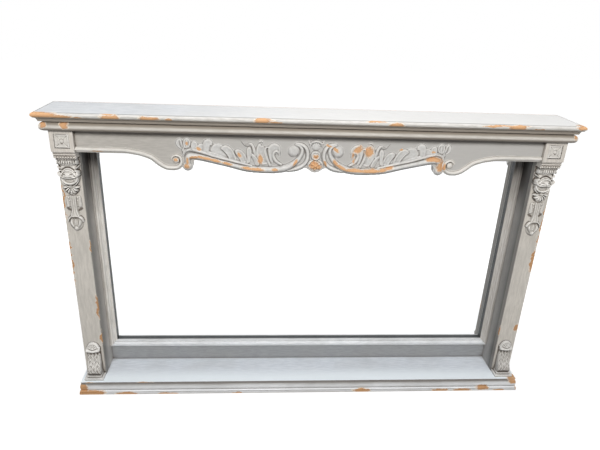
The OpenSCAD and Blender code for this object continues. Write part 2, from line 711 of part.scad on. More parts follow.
// section of the frame: x inward from its outer edge, y forward from the back
module frame_section() {
    ridge_r = 7;
    difference() {
        union() {
            square([frame_w, sight_d]);
            square([5, frame_d - 4]);
            translate([9, frame_d - ridge_r]) circle(ridge_r);
            square([frame_w - 9, frame_d - 6]);
            translate([frame_w - 3, sight_d - 2]) circle(3);
        }
        translate([frame_w - 5, frame_d]) circle(9);
        translate([frame_w - rebate_w, -1]) square([rebate_w + 1, glass_d + 1]);
    }
}

// one rail of the given outer length, outer edge at z 0, back at y 0, mitred at both ends
module frame_rail(length) {
    intersection() {
        translate([-length / 2, 0, 0]) rotate([90, 0, 90]) linear_extrude(length)
            rotate([0, 0, 90]) frame_section();
        translate([0, 1, 0]) rotate([90, 0, 0]) linear_extrude(frame_d + 2) polygon([
            [-length / 2, 0], [length / 2, 0],
            [length / 2 - frame_w, frame_w], [-length / 2 + frame_w, frame_w]]);
    }
}

module mirror_frame_bottom() {
    color(paint_top) translate([0, back_y, frame_bottom]) frame_rail(2 * frame_half_w);
}

module mirror_frame_top() {
    color(paint) translate([0, back_y, frame_top]) rotate([0, 180, 0]) frame_rail(2 * frame_half_w);
}

module mirror_stile_left() {
    color(paint) translate([-frame_half_w, back_y, frame_mid_z]) rotate([0, 90, 0]) frame_rail(frame_h);
}

module mirror_stile_right() {
    color(paint) translate([frame_half_w, back_y, frame_mid_z]) rotate([0, -90, 0]) frame_rail(frame_h);
}

glass_edge = frame_w - rebate_w;

// a sheet that fills the frame's rebate, from depth d to d + t
module rebate_sheet(d, t) {
    translate([-frame_half_w + glass_edge + fit, 0, frame_bottom + glass_edge])
        standing(d, t) square([2 * (frame_half_w - glass_edge - fit), frame_h - 2 * glass_edge - fit]);
}

module mirror_glass() {
    color(silvered) rebate_sheet(glass_d - glass_t, glass_t);
}

module backing_board() {
    color(old_wood) rebate_sheet(glass_d - glass_t - backing_t, backing_t);
}

module backing_battens() {
    t = glass_d - glass_t - backing_t;
    w = 12;
    wide = 2 * (frame_half_w - glass_edge) - 2 * fit;
    high = frame_h - 2 * glass_edge - 2 * w - 2 * fit;
    color(old_wood) for (s = [-1, 1]) {
        translate([-wide / 2, 0, frame_mid_z + s * (frame_h / 2 - glass_edge - w / 2 - fit / 2) - w / 2])
            standing(0, t) square([wide, w]);
        translate([s * (wide - w) / 2 - w / 2, 0, frame_mid_z - high / 2])
            standing(0, t) square([w, high]);
    }
}

// Back panels, screwed through the reveal boards

module back_panel(z, h) {
    translate([-pilaster_inner, 0, z]) standing(0, panel_t) square([2 * pilaster_inner, h]);
}

module lower_back_panel() {
    color(paint) difference() {
        back_panel(shelf_h, lower_panel_h);
        for (m = [0, 1]) mirror([m, 0, 0]) panel_screw_places() screw_bore(0.2);
    }
}

module upper_back_panel() {
    color(paint) difference() {
        back_panel(frame_top, upper_panel_h);
        for (m = [0, 1]) mirror([m, 0, 0]) panel_screw_places() screw_bore(0.2);
    }
}

// Base: shelf board with a lip and hollow, over a mitred moulding and a back rail

base_h = shelf_h - shelf_lip_t - 2 * shelf_cove_r;
base_back = 4;
shelf_d = base_line_d + shelf_out;
shelf_half_w = pilaster_outer + shelf_out;

// half of the shelf's section, x in from the lip's edge: what is taken off the plain board
module shelf_edge_cut() {
    translate([0, shelf_t - shelf_lip_t - shelf_cove_r]) circle(shelf_cove_r);
    translate([-1, -1]) square([shelf_out + base_back + 1, shelf_t - shelf_lip_t - 2 * shelf_cove_r + 1]);
}

module shelf_board() {
    color(paint_top) translate([0, 0, shelf_h - shelf_t]) difference() {
        intersection() {
            translate([-shelf_half_w, 0, 0]) rotate([90, 0, 90]) linear_extrude(2 * shelf_half_w)
                translate([at_depth(shelf_d), 0]) difference() {
                    square([shelf_d, shelf_t]);
                    shelf_edge_cut();
                }
            translate([0, back_y, 0]) rotate([90, 0, 0]) linear_extrude(shelf_d) difference() {
                translate([-shelf_half_w, 0]) square([2 * shelf_half_w, shelf_t]);
                translate([-shelf_half_w, 0]) shelf_edge_cut();
                translate([shelf_half_w, 0]) mirror([1, 0]) shelf_edge_cut();
            }
        }
        shelf_screw_places() screw_bore(0.2);
    }
}

// section of the base moulding: x out from the setting-out line, y up from the ground
module base_section() {
    foot_h = 8;
    bead_r = 4;
    face_bottom = foot_h + 2 * bead_r + 2;
    face_r = 30;
    face_out = shelf_out + 3;
    translate([-base_back, 0]) square([base_back + base_out - 7, base_h]);
    translate([-base_back, 0]) square([base_back + base_out, foot_h]);
    translate([base_out - 5, foot_h + bead_r - 1]) circle(bead_r);
    intersection() {
        translate([-base_back, face_bottom]) square([base_back + face_out, base_h - face_bottom]);
        translate([face_out - face_r, (face_bottom + base_h) / 2]) circle(face_r);
    }
}

module base_moulding_front() {
    reach = pilaster_outer + base_out;
    color(paint_top) intersection() {
        translate([-reach, at_depth(base_line_d), 0]) rotate([90, 0, 90]) linear_extrude(2 * reach)
            mirror([1, 0]) base_section();
        front_plan(pilaster_outer, base_line_d, base_h);
    }
}

module base_return_right() {
    color(paint) intersection() {
        translate([pilaster_outer, back_y, 0]) rotate([90, 0, 0])
            linear_extrude(base_line_d + base_out) base_section();
        return_plan(pilaster_outer, base_line_d, base_h);
    }
}

module base_return_left() {
    left() base_return_right();
}

module base_back_rail() {
    half = pilaster_outer - base_back;
    color(old_wood) translate([-half, 0, 0])
        standing(0, board_t) square([2 * half, shelf_h - shelf_t]);
}

// Glue blocks in the corner of the frieze and crown board, and behind the base moulding

module corner_block(length, leg) {
    translate([-length / 2, 0, 0]) rotate([90, 0, 90]) linear_extrude(length)
        polygon([[0, 0], [leg, 0], [0, -leg]]);
}

module crown_glue_blocks() {
    color(old_wood) for (x = [-0.8 : 0.4 : 0.8])
        translate([x * pilaster_inner, at_depth(frieze_d - frieze_t), crown_under]) corner_block(70, 28);
}

module base_glue_blocks() {
    color(old_wood) for (x = [-0.8 : 0.4 : 0.8])
        translate([x * pilaster_inner, at_depth(base_line_d - base_back), shelf_h - shelf_t])
            corner_block(70, 22);
}

// Wood screws with countersunk heads, and the places that they are driven in

screw_head_d = 2 * screw_d;
screw_head_t = 0.6 * screw_d;
pilaster_screw_x = [pilaster_w * 0.3, pilaster_w * 0.7];

// a screw along z with its head's top at z 0, pointing down
module wood_screw() {
    translate([0, 0, -screw_l]) cylinder(d = screw_d, h = screw_l);
    translate([0, 0, -screw_head_t]) cylinder(d1 = screw_d, d2 = screw_head_d, h = screw_head_t);
}

module screw_bore(gap) {
    translate([0, 0, -screw_l - 1]) cylinder(d = screw_d + gap, h = screw_l + 2);
    translate([0, 0, -screw_head_t]) cylinder(d1 = screw_d + gap, d2 = screw_head_d + gap, h = screw_head_t);
}

// right side: two screws into each end of each back panel, heads inside the pilaster
module panel_screw_places() {
    rows = [shelf_h + lower_panel_h * 0.3, shelf_h + lower_panel_h * 0.7,
        frame_top + upper_panel_h * 0.3, frame_top + upper_panel_h * 0.7];
    for (z = rows)
        translate([pilaster_inner + board_t, at_depth(panel_t / 2), z]) rotate([0, 90, 0]) children();
}

// from under the shelf up into the front boards of the pilasters and the lower back panel
module shelf_screw_places() {
    for (m = [0, 1]) mirror([m, 0, 0]) for (x = pilaster_screw_x)
        translate([pilaster_inner + x, at_depth(pilaster_d - board_t / 2), 0]) rotate([180, 0, 0]) children();
}

module panel_screws() {
    color(steel) for (m = [0, 1]) mirror([m, 0, 0]) panel_screw_places() wood_screw();
}

module shelf_screws() {
    color(steel) translate([0, 0, shelf_h - shelf_t]) shelf_screw_places() wood_screw();
}

crown_board();
crown_moulding_front();
crown_return_left();
crown_return_right();
frieze_board();
apron_bead_left();
apron_bead_right();
apron_carving_left();
apron_carving_right();
apron_cartouche();
head_block_left();
head_block_right();
rosette_left();
rosette_right();
necking_left();
necking_right();
pilaster_drop_left();
pilaster_drop_right();
pilaster_front_left();
pilaster_front_right();
pilaster_reveal_left();
pilaster_reveal_right();
pilaster_side_left();
pilaster_side_right();
foot_corbel_left();
foot_corbel_right();
plinth_left();
plinth_right();
mirror_frame_top();
mirror_frame_bottom();
mirror_stile_left();
mirror_stile_right();
mirror_glass();
backing_board();
backing_battens();
lower_back_panel();
upper_back_panel();
shelf_board();
base_moulding_front();
base_return_left();
base_return_right();
base_back_rail();
crown_glue_blocks();
base_glue_blocks();
pilaster_glue_blocks();
panel_screws();
shelf_screws();
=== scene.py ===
import functools
import math

import bmesh
import bpy
import numpy as np
from mathutils import Matrix, Vector


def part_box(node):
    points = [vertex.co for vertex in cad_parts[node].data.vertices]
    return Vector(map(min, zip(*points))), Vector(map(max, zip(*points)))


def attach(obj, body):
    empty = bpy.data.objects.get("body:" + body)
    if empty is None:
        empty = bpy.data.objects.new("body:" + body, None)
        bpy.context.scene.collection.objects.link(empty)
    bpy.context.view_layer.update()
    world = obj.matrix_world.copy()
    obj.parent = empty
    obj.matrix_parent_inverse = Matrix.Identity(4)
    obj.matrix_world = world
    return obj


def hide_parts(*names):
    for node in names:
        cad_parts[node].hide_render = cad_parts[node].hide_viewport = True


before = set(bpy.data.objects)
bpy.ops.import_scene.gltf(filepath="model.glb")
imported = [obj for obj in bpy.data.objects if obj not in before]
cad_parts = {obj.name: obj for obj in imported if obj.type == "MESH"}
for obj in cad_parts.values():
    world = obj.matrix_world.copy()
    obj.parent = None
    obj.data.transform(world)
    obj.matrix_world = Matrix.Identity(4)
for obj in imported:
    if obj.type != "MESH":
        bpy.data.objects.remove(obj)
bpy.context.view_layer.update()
MM = 0.001


def linear(text):
    """A written colour such as "#B5B2AC" as linear values with alpha."""
    parts = [int(text[i:i + 2], 16) / 255 for i in (1, 3, 5)]
    return [c / 12.92 if c <= 0.04045 else ((c + 0.055) / 1.055) ** 2.4 for c in parts] + [1.0]


def node(tree, kind, inputs=(), out=0, **settings):
    """Adds a node and gives one of its outputs. A setting is a property of the node. An input, by
    its place or its name, is a value, a written colour, or another node's output to link."""
    made = tree.nodes.new("ShaderNode" + kind)
    for name, value in settings.items():
        setattr(made, name, value)
    for name, value in inputs.items() if isinstance(inputs, dict) else enumerate(inputs):
        if isinstance(value, bpy.types.NodeSocket):
            tree.links.new(value, made.inputs[name])
        else:
            made.inputs[name].default_value = linear(value) if isinstance(value, str) else value
    return made.outputs[out] if made.outputs else made


def started(block):
    """A new material or world with nothing in it, and the function that adds nodes to it."""
    block.use_nodes = True
    block.node_tree.nodes.clear()
    return block, functools.partial(node, block.node_tree)


# Camera, studio and white ground

def set_camera():
    """The viewpoint, as solved from the straight edges of the crown, the frame and the base."""
    turn = (Matrix.Rotation(-0.0792550, 3, "Z") @ Matrix.Rotation(-0.4026936, 3, "X")
            @ Matrix.Rotation(-0.0430229, 3, "Y") @ Matrix.Rotation(math.pi / 2, 3, "X"))
    camera = bpy.data.objects.new("camera", bpy.data.cameras.new("camera"))
    camera.data.sensor_width = 36
    camera.data.lens = 32.3144
    camera.data.clip_end = 50
    camera.matrix_world = Matrix.Translation((-0.1627, -1.6087, 1.3104)) @ turn.to_4x4()
    bpy.context.scene.collection.objects.link(camera)
    bpy.context.scene.camera = camera


def lamp(name, place, target, size, watts, colour):
    light = bpy.data.lights.new(name, "AREA")
    light.shape = "RECTANGLE"
    light.size, light.size_y = size
    light.energy = watts
    light.color = linear(colour)[:3]
    made = bpy.data.objects.new(name, light)
    aim = (Vector(target) - Vector(place)).to_track_quat("-Z", "Y")
    made.matrix_world = Matrix.Translation(place) @ aim.to_matrix().to_4x4()
    made.visible_glossy = False
    made.visible_camera = False
    bpy.context.scene.collection.objects.link(made)


def seen_directly(add):
    """1 for a look from the camera, also by way of the mirror, and 0 for light between surfaces."""
    path = add("LightPath").node.outputs
    some = add("Math", [path["Is Camera Ray"], path["Is Glossy Ray"]], operation="MAXIMUM")
    some = add("Math", [some, path["Is Transmission Ray"]], operation="MAXIMUM")
    first = add("Math", [path["Diffuse Depth"], 0.5], operation="LESS_THAN")
    return add("Math", [some, first], operation="MULTIPLY")


def set_studio():
    bpy.context.scene.view_settings.view_transform = "Standard"
    lamp("soft_key", (-0.1, -2.55, 2.5), (0, 0, 0.55), (1.2, 0.8), 90, "#FFFDFA")
    lamp("soft_top", (0.1, -0.5, 3.3), (0, 0, 0.6), (2.6, 0.9), 34, "#F2F7FF")
    lamp("soft_back", (-0.4, 3.0, 1.8), (0, 0, 0.5), (2.6, 1.8), 50, "#FFFFFF")
    bpy.context.scene.world, add = started(bpy.data.worlds.new("white_studio"))
    dim = add("Background", {"Color": "#E9EDF2", "Strength": 0.07})
    white = add("Background", {"Color": "#FFFFFF", "Strength": 1.0})
    add("OutputWorld", {"Surface": add("MixShader", [seen_directly(add), dim, white])})

    # the ground glows enough to look white, and keeps the object's shadow close to it
    bm = bmesh.new()
    bmesh.ops.create_grid(bm, x_segments=1, y_segments=1, size=9)
    floor = as_object(bm, "studio_floor")
    ground, add = started(bpy.data.materials.new("white_ground"))
    away = add("VectorMath", [add("TexCoord", out="Object")], out="Value", operation="LENGTH")
    glow = add("MapRange", [away, 0.8, 2.4], **SOFT)
    glow = add("Math", [0.8, glow], operation="ADD", use_clamp=True)
    lit = add("AddShader", [add("BsdfDiffuse", {"Color": "#959595"}),
                            add("Emission", {"Color": "#FFFFFF", "Strength": glow})])
    card = add("BsdfDiffuse", {"Color": "#A0A0A0"})
    add("OutputMaterial", {"Surface": add("MixShader", [seen_directly(add), card, lit])})
    floor.data.materials.append(ground)


def as_object(bm, name):
    """A finished bmesh as an object at the origin."""
    mesh = bpy.data.meshes.new(name)
    bm.to_mesh(mesh)
    bm.free()
    for face in mesh.polygons:
        face.use_smooth = True
    made = bpy.data.objects.new(name, mesh)
    bpy.context.scene.collection.objects.link(made)
    return made


# Finishes. Colours are in sRGB as they were matched to the object; painted shade and light are
# marked where laid.

# Settings that many nodes share: a soft step between two values, and a mix of two colours
SOFT = {"interpolation_type": "SMOOTHSTEP"}
COLOURS = {"data_type": "RGBA", "out": 2}

# Sizes of the patterns in metres, before the grain setting of a finish draws them out. Across the
# brush that makes them about nine times finer, so a mark is 4 mm wide and a bristle leaves 1 mm.
BRUSH_MARK = 38.46 * MM
BRISTLE = 9.09 * MM
DRIFT = 142.9 * MM
CHIP = 16.67 * MM
RAGGED_RIM = 22.22 * MM
GROWTH_RING = 25 * MM       # drawn as coarse as it takes to show in the render


def coat(add, under, over, value, start, end, amount=1.0):
    """One colour laid over another: none where value is at start, and amount of it past end."""
    share = add("MapRange", [value, start, end, 0.0, amount], **SOFT)
    return add("Mix", {0: share, 6: under, 7: over}, **COLOURS)


def shut_in(add, reach, clear, closed, amount=1.0, **settings):
    """How far a spot is shut in by what stands within reach of it, in mm."""
    light = add("AmbientOcclusion", {"Distance": reach * MM}, out="AO", **settings)
    return add("MapRange", [light, clear, closed, 0.0, amount], **SOFT)


def give_surface(material, add, inputs, height=None, strength=0.0, reach=0.0):
    """Ends a finish with its colour, its gloss and the fine relief of its surface, reach in mm."""
    if height:
        inputs["Normal"] = add("Bump", {"Height": height, "Strength": strength,
                                        "Distance": reach * MM})
    add("OutputMaterial", {"Surface": add("BsdfPrincipled", inputs)})
    return material


def worn_paint(name, tint, light, grain, patches=(), carved=False, glaze_and_shade=0.6, edge=0.5, rough=0.42,
               deep=0.0, shade_openness=0.72, nosing=None, fades=(), timber=("#CC9665", "#E2BB94")):
    """Old satin paint brushed by hand in two tones, tint and light. Pale primer shows on rubbed
    edges by the share edge, dark glaze and painted shade lie in the hollows by the share glaze,
    and the timber shows in the patches.

    grain    stretch of the brush marks along x, y and z
    patches  bare spots, each the three coordinates of its middle and its three radii, in mm
    carved   takes ridges, hollows and bare spots from the piece's own attributes
    deep     how dark the painted shade is down in a deep recess
    soot     how open a spot may be and still be darkened as painted shade
    nosing   half the width and half the depth of a board whose rounded front gets a painted highlight
    fades    slow changes of tone, most of them painted shade and a few painted light, each an axis, its start
         and end, a colour and its share. Axes 0 to 2 are x, y and z, and axis 3 is the distance
         from the middle."""
    material, add = started(bpy.data.materials.new(name))
    place = add("TexCoord", out="Object")
    along = add("Mapping", {"Vector": place, "Scale": grain})
    coarse, fine, cloud, chips = (
        add("TexNoise", {"Vector": over, "Scale": 1 / size, "Detail": detail, "Roughness": ragged})
        for over, size, detail, ragged in ((along, BRUSH_MARK, 4, 0.55), (along, BRISTLE, 2, 0.55),
                                           (place, DRIFT, 3, 0.55), (place, CHIP, 4, 0.7)))

    # brush marks: long soft streaks of the lighter tone, and a slow drift over the board
    streak = add("Mix", {0: 0.25, 2: coarse, 3: fine})
    paint = coat(add, tint, light, streak, 0.36, 0.66)
    paint = coat(add, paint, "#A6A49F", cloud, 0.35, 0.75, 0.22)

    # rubbed edges, filled hollows, and painted shade in corners
    if carved:
        ridge = add("Attribute", out="Fac", attribute_name="ridge")
        hollow = add("Attribute", out="Fac", attribute_name="hollow")
        rubbed = add("MapRange", [chips, 0.2, 0.6, 0.0, ridge], **SOFT)
    else:
        seam = shut_in(add, 8, 0.78, 0.5, samples=8)
        # painted shade: corners and the undersides of overhangs within 26 mm are darkened
        corner_shade = shut_in(add, 26, shade_openness, shade_openness - 0.47, 0.9, samples=8)
        hollow = add("Math", [seam, corner_shade], operation="MAXIMUM")
        clear = add("Math", [1.0, hollow], operation="SUBTRACT")
        ridge = shut_in(add, 3.5, 0.9, 0.4, clear, samples=6, inside=True, only_local=True)
        rubbed = add("Math", [ridge, chips], operation="MULTIPLY")
        rubbed = add("MapRange", [rubbed, 0.22, 0.34], **SOFT)
    for share, amount, colour in ((hollow, glaze_and_shade, "#4E4237"), (rubbed, edge, "#F1EFEB")):
        share = add("Math", [share, amount], operation="MULTIPLY")
        paint = add("Mix", {0: share, 6: paint, 7: colour}, **COLOURS)
    if deep:
        # painted shade down in a deep recess
        niche_shade = add("AmbientOcclusion", {"Distance": 110 * MM}, out="AO", samples=8)
        paint = coat(add, paint, "#2E2823", niche_shade, 0.62, 0.12, deep)
    x, y, z = add("SeparateXYZ", [place]).node.outputs
    axes = [x, y, z, add("Math", [x], operation="ABSOLUTE")]
    for axis, start, end, tone, amount in fades:
        span = end - start
        drift = add("Math", [cloud, 0.4 * span, axes[axis]], operation="MULTIPLY_ADD")
        paint = coat(add, paint, tone, drift, start + 0.2 * span, end + 0.2 * span, amount)
    if nosing:
        # painted highlight: the rounded front gets a whiter band, with a dark line along its top
        from_front = add("Math", [y, nosing[1]], operation="ADD")
        from_end = add("Math", [nosing[0], axes[3]], operation="SUBTRACT")
        front = add("Math", [from_front, from_end], operation="MINIMUM")
        dark_line = add("MapRange", [coarse, 0.15, 0.45, 0.0, 0.65], **SOFT)
        paint = coat(add, paint, "#7F7A73", front, 10.5 * MM, 8.5 * MM, dark_line)
        highlight_share = add("MapRange", [coarse, 0.2, 0.4], **SOFT)
        white = coat(add, "#C6C3BD", "#DAD8D4", streak, 0.36, 0.62)
        paint = coat(add, paint, white, front, 4.2 * MM, 3 * MM, highlight_share)

    # bare wood with a pale fringe of primer
    if carved:
        spots = add("Math", [fine, 1.3, chips], operation="MULTIPLY_ADD")
        spots = add("Math", [spots, 1.15], operation="SUBTRACT")
        drawn = add("Attribute", out="Fac", attribute_name="bare")
        depth = add("Math", [drawn, spots], operation="ADD")
    else:
        shift = add("TexNoise", {"Vector": place, "Scale": 1 / RAGGED_RIM, "Detail": 5},
                    out="Color")
        shift = add("VectorMath", [shift, (0.5, 0.5, 0.5)], operation="SUBTRACT")
        warped = add("VectorMath", [shift, (0.034, 0.012, 0.012), place], operation="MULTIPLY_ADD")
        depth = 0.0
        for patch in patches:
            middle, radii = [m * MM for m in patch[:3]], [1.25 * r * MM for r in patch[3:]]
            within = add("Mapping", {"Vector": warped, "Location": middle, "Scale": radii},
                         vector_type="TEXTURE")
            within = add("VectorMath", [within], out="Value", operation="LENGTH")
            within = add("Math", [1.0, within], operation="SUBTRACT")
            depth = add("Math", [depth, within], operation="MAXIMUM")
        uneven = add("Math", [fine, 0.5], operation="SUBTRACT")
        inside = add("MapRange", [depth, 0.0, 0.1, 0.0, 0.9], **SOFT)
        depth = add("Math", [uneven, inside, depth], operation="MULTIPLY_ADD")
        # the brush stopped short of the faces that stand against the wall
        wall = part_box("backing_battens")[1].y
        behind = add("MapRange", [y, wall - 2.5 * MM, wall - 0.2 * MM], **SOFT)
        depth = add("Math", [depth, behind], operation="MAXIMUM")
    bare = add("MapRange", [depth, 0.1, 0.36], **SOFT)
    rings = add("TexWave", {"Vector": along, "Scale": 1 / GROWTH_RING, "Distortion": 5,
                            "Detail": 3}, out="Fac", bands_direction="Z")
    rings = add("Mix", {0: 0.5, 2: rings, 3: fine})
    wood = add("Mix", {0: rings, 6: timber[0], 7: timber[1]}, **COLOURS)
    wood = coat(add, wood, "#A9703F", depth, 0.5, 0.2)
    colour = coat(add, paint, "#F3EADB", depth, 0.01, 0.12, 0.8)
    colour = add("Mix", {0: bare, 6: colour, 7: wood}, **COLOURS)

    # brush ridges and the step down from paint to wood, which is duller
    tall = add("Math", [bare, -0.9, add("Math", [streak, 0.5], operation="MULTIPLY")],
               operation="MULTIPLY_ADD")
    dull = add("Math", [bare, 0.22, rough - 0.08], operation="MULTIPLY_ADD")
    dull = add("Math", [streak, 0.16, dull], operation="MULTIPLY_ADD")
    return give_surface(material, add, {"Base Color": colour, "Roughness": dull, "IOR": 1.47},
                        tall, 0.35, 0.5)


def unpainted_pine():
    """Planed pine at the back that was never painted: straight grain, brown and grey with age."""
    material, add = started(bpy.data.materials.new("unpainted_pine"))
    along = add("Mapping", {"Vector": add("TexCoord", out="Object"), "Scale": (1.2, 7, 7)})
    rings = add("TexWave", {"Vector": along, "Scale": 1 / (33.33 * MM), "Distortion": 7,
                            "Detail": 3, "Detail Scale": 1.4}, out="Fac", bands_direction="Z")
    pores = add("TexNoise", {"Vector": along, "Scale": 1 / (6.25 * MM), "Detail": 2,
                             "Roughness": 0.55})
    tone = add("Mix", {0: 0.3, 2: rings, 3: pores})
    colour = add("Mix", {0: tone, 6: "#B48A58", 7: "#D9B483"}, **COLOURS)
    aged = add("TexNoise", {"Vector": along, "Scale": 1 / (333.3 * MM), "Detail": 5,
                            "Roughness": 0.65})
    colour = coat(add, colour, "#8A6F50", aged, 0.4, 0.7, 0.55)
    # painted shade: the back is darker in its corners
    corner_shade = add("AmbientOcclusion", {"Distance": 30 * MM}, out="AO", samples=6)
    colour = coat(add, colour, "#5A4633", corner_shade, 0.75, 0.25)
    return give_surface(material, add, {"Base Color": colour, "Roughness": 0.68, "IOR": 1.5},
                        tone, 0.3, 0.3)


def silvered_glass():
    """Old mirror glass: a clean silver field that greys a little in the last few millimetres."""
    material, add = started(bpy.data.materials.new("silvered_glass"))
    place = add("TexCoord", out="Object")
    low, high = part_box("mirror_glass")
    away = add("VectorMath", [place, (low + high) / 2], operation="SUBTRACT")
    away = add("VectorMath", [away], operation="ABSOLUTE")
    across, _, up = add("SeparateXYZ", [away]).node.outputs
    across = add("Math", [(high.x - low.x) / 2, across], operation="SUBTRACT")
    up = add("Math", [(high.z - low.z) / 2, up], operation="SUBTRACT")
    rim = add("Math", [across, up], operation="MINIMUM")
    spots = add("TexNoise", {"Vector": place, "Scale": 1 / (4.545 * MM), "Detail": 3,
                             "Roughness": 0.7})
    spots = add("Math", [spots, 0.022], operation="MULTIPLY")
    aged = add("Math", [spots, rim], operation="SUBTRACT")
    colour = coat(add, "#FBFCFC", "#8D9596", aged, 0.0, 0.004, 0.5)
    dull = add("MapRange", [aged, 0.0, 0.004, 0.012, 0.162], **SOFT)
    return give_surface(material, add, {"Base Color": colour, "Metallic": 1.0, "Roughness": dull})


def plain_steel():
    """Screw heads of turned steel, with a little brown rust."""
    material, add = started(bpy.data.materials.new("plain_steel"))
    place = add("TexCoord", out="Object")
    spots = add("TexNoise", {"Vector": place, "Scale": 1 / (2.5 * MM), "Detail": 3,
                             "Roughness": 0.7})
    colour = coat(add, "#8F9294", "#6B5444", spots, 0.5, 0.7)
    dull = add("Math", [spots, 0.3, 0.25], operation="MULTIPLY_ADD")
    return give_surface(material, add, {"Base Color": colour, "Metallic": 0.9, "Roughness": dull})


# Relief carving. A drawing is in mm, with x across and z up from a given point on the face that
# carries it, and heights stand out from that face.

FLOOR = -0.5        # the unworked ground, a little below the face that carries the piece
NO_WOOD = -30.0     # height where a form has nothing
BARE_LOW = -2.0     # depth inside the bare spots, where there is none
FAR = 9.0           # further from a line than any stroke reaches, in half widths


def smooth_line(points, steps, closed=False):
    """Points on a smooth line through the drawn ones."""
    p = np.array(points, float)
    around = np.vstack([p[-1:], p, p[:2]]) if closed else np.vstack([p[:1], p, p[-1:]])
    t = np.linspace(0, 1, steps, endpoint=False)[:, None]
    out = []
    for a, b, c, d in zip(around[:-3], around[1:-2], around[2:-1], around[3:]):
        out.append(0.5 * (2 * b + (c - a) * t + (2 * a - 5 * b + 4 * c - d) * t ** 2
                          + (3 * b - a - 3 * c + d) * t ** 3))
    return np.vstack(out + ([] if closed else [p[-1:]]))


class Field:
    """Heights over a grid of points that is worked like a piece of wood."""

    def __init__(self, x, z):
        self.x, self.z = x, z
        self.height = np.full(x.shape, NO_WOOD)
        # besides heights: dark glaze with painted shade, and lighter high parts, partly rubbed and
        # partly painted highlight
        self.stain_and_shade, self.shine = np.zeros(x.shape), np.zeros(x.shape)

    def nearest(self, points, steps=5):
        """For each point: distance over the half width, height, and side of the line."""
        line = smooth_line(points, steps)
        best = np.full(self.x.shape, FAR)
        height, side = np.zeros(self.x.shape), np.zeros(self.x.shape)
        for a, b in zip(line[:-1], line[1:]):
            reach = 3.0 * max(a[2], b[2], 0.3)
            beside = (self.x > min(a[0], b[0]) - reach) & (self.x < max(a[0], b[0]) + reach)
            level = (self.z > min(a[1], b[1]) - reach) & (self.z < max(a[1], b[1]) + reach)
            near = np.nonzero(beside & level)
            if not len(near[0]):
                continue
            x, z = self.x[near] - a[0], self.z[near] - a[1]
            dx, dz = b[0] - a[0], b[1] - a[1]
            t = np.clip((x * dx + z * dz) / max(dx * dx + dz * dz, 1e-9), 0, 1)
            width = np.maximum(a[2] + (b[2] - a[2]) * t, 0.3)
            share = np.hypot(x - dx * t, z - dz * t) / width
            closer = share < best[near]
            where = tuple(n[closer] for n in near)
            best[where] = share[closer]
            height[where] = (a[3] + (b[3] - a[3]) * t)[closer]
            side[where] = np.sign(dx * z - dz * x)[closer]
        return best, height, side

    def add(self, shape, soft=0.0):
        """Joins a form to the work. A soft join leaves a small fillet."""
        if soft:
            gap = np.clip(0.5 + (shape - self.height) / (2 * soft), 0, 1)
            self.height = self.height + (shape - self.height) * gap + soft * gap * (1 - gap)
        else:
            self.height = np.maximum(self.height, shape)

    def stroke(self, points, full=2.4, lean=0.0, hollow=0.0, steps=5):
        """A ridge along a line of [x, z, half width, height]. full squares its section, lean tips
        its top to one side, and hollow works a groove down its middle."""
        share, height, side = self.nearest(points, steps)
        tipped = np.clip(share * side + lean, -FAR, FAR)
        span = np.where(tipped > 0, 1 + lean, 1 - lean)
        form = height * (1 - (np.abs(tipped) / span) ** full)
        form = form - hollow * np.clip(1 - (share / 0.62) ** 2, 0, 1)
        self.add(np.where(share < FAR, form, NO_WOOD))

    def leaf(self, outline, middle, rim, hollow, lean=(0, 0), veins=(), reach=5.0):
        """A leaf inside a closed outline, with a raised rim and a hollow that is full at reach from
        it. lean raises one side, and veins are cut as lines of [x, z, half width, depth]."""
        wall = 4.0      # how steeply the rim rises
        line = smooth_line(outline, 4, closed=True)
        away = np.full(self.x.shape, 99.0)
        inside = np.zeros(self.x.shape, bool)
        for a, b in zip(line, np.roll(line, -1, axis=0)):
            x, z = self.x - a[0], self.z - a[1]
            dx, dz = b[0] - a[0], b[1] - a[1]
            t = np.clip((x * dx + z * dz) / max(dx * dx + dz * dz, 1e-9), 0, 1)
            away = np.minimum(away, np.hypot(x - dx * t, z - dz * t))
            crosses = (a[1] > self.z) != (b[1] > self.z)
            inside ^= crosses & (x < dx * z / (dz if abs(dz) > 1e-9 else 1e-9))
        tilt = 1 + (lean[0] * (self.x - middle[0]) + lean[1] * (self.z - middle[1]))
        top = rim * np.clip(tilt, 0.35, 1.5)
        rise = np.where(inside, top * (1 - np.exp(-wall * away / top)), -wall * away)
        dip = np.clip((away - 1.4) / reach, 0, 1)
        form = rise - np.where(inside, hollow * dip * dip * (3 - 2 * dip), 0)
        for vein in veins:
            share, deep, _ = self.nearest(vein)
            form = form - np.where(inside, deep * np.clip(1 - share ** 2, 0, 1), 0)
        self.add(form)

    def dome(self, x, z, r, h, lift=0.0, full=2.2):
        """A round boss. lift stands it on a drum."""
        share = np.hypot(self.x - x, self.z - z) / r
        self.add(np.where(share < 1, lift + h * (1 - share ** full), (1 - share) * r * 4))

    def groove(self, points, steps=5):
        """A gouge cut along a line of [x, z, half width, depth]."""
        share, deep, _ = self.nearest(points, steps)
        self.height = self.height - deep * np.clip(1 - share ** 2, 0, 1) ** 1.3

    def smear(self, points, steps=5):
        """Dark glaze and painted shade on a skin of old paint along a line of [x, z, half width,
        strength].
        """
        share, strength, _ = self.nearest(points, steps)
        self.add(np.where(share < 1.15, 0.3, NO_WOOD))
        self.stain_and_shade = np.maximum(self.stain_and_shade, np.clip(1.7 * (1 - share), 0, 1) * strength)

    def raise_spot(self, x, z, r, h):
        """Lifts the work itself in a small round swelling."""
        share = np.hypot(self.x - x, self.z - z) / r
        self.height = self.height + np.where(share < 1, h * (1 - share ** 2), 0)

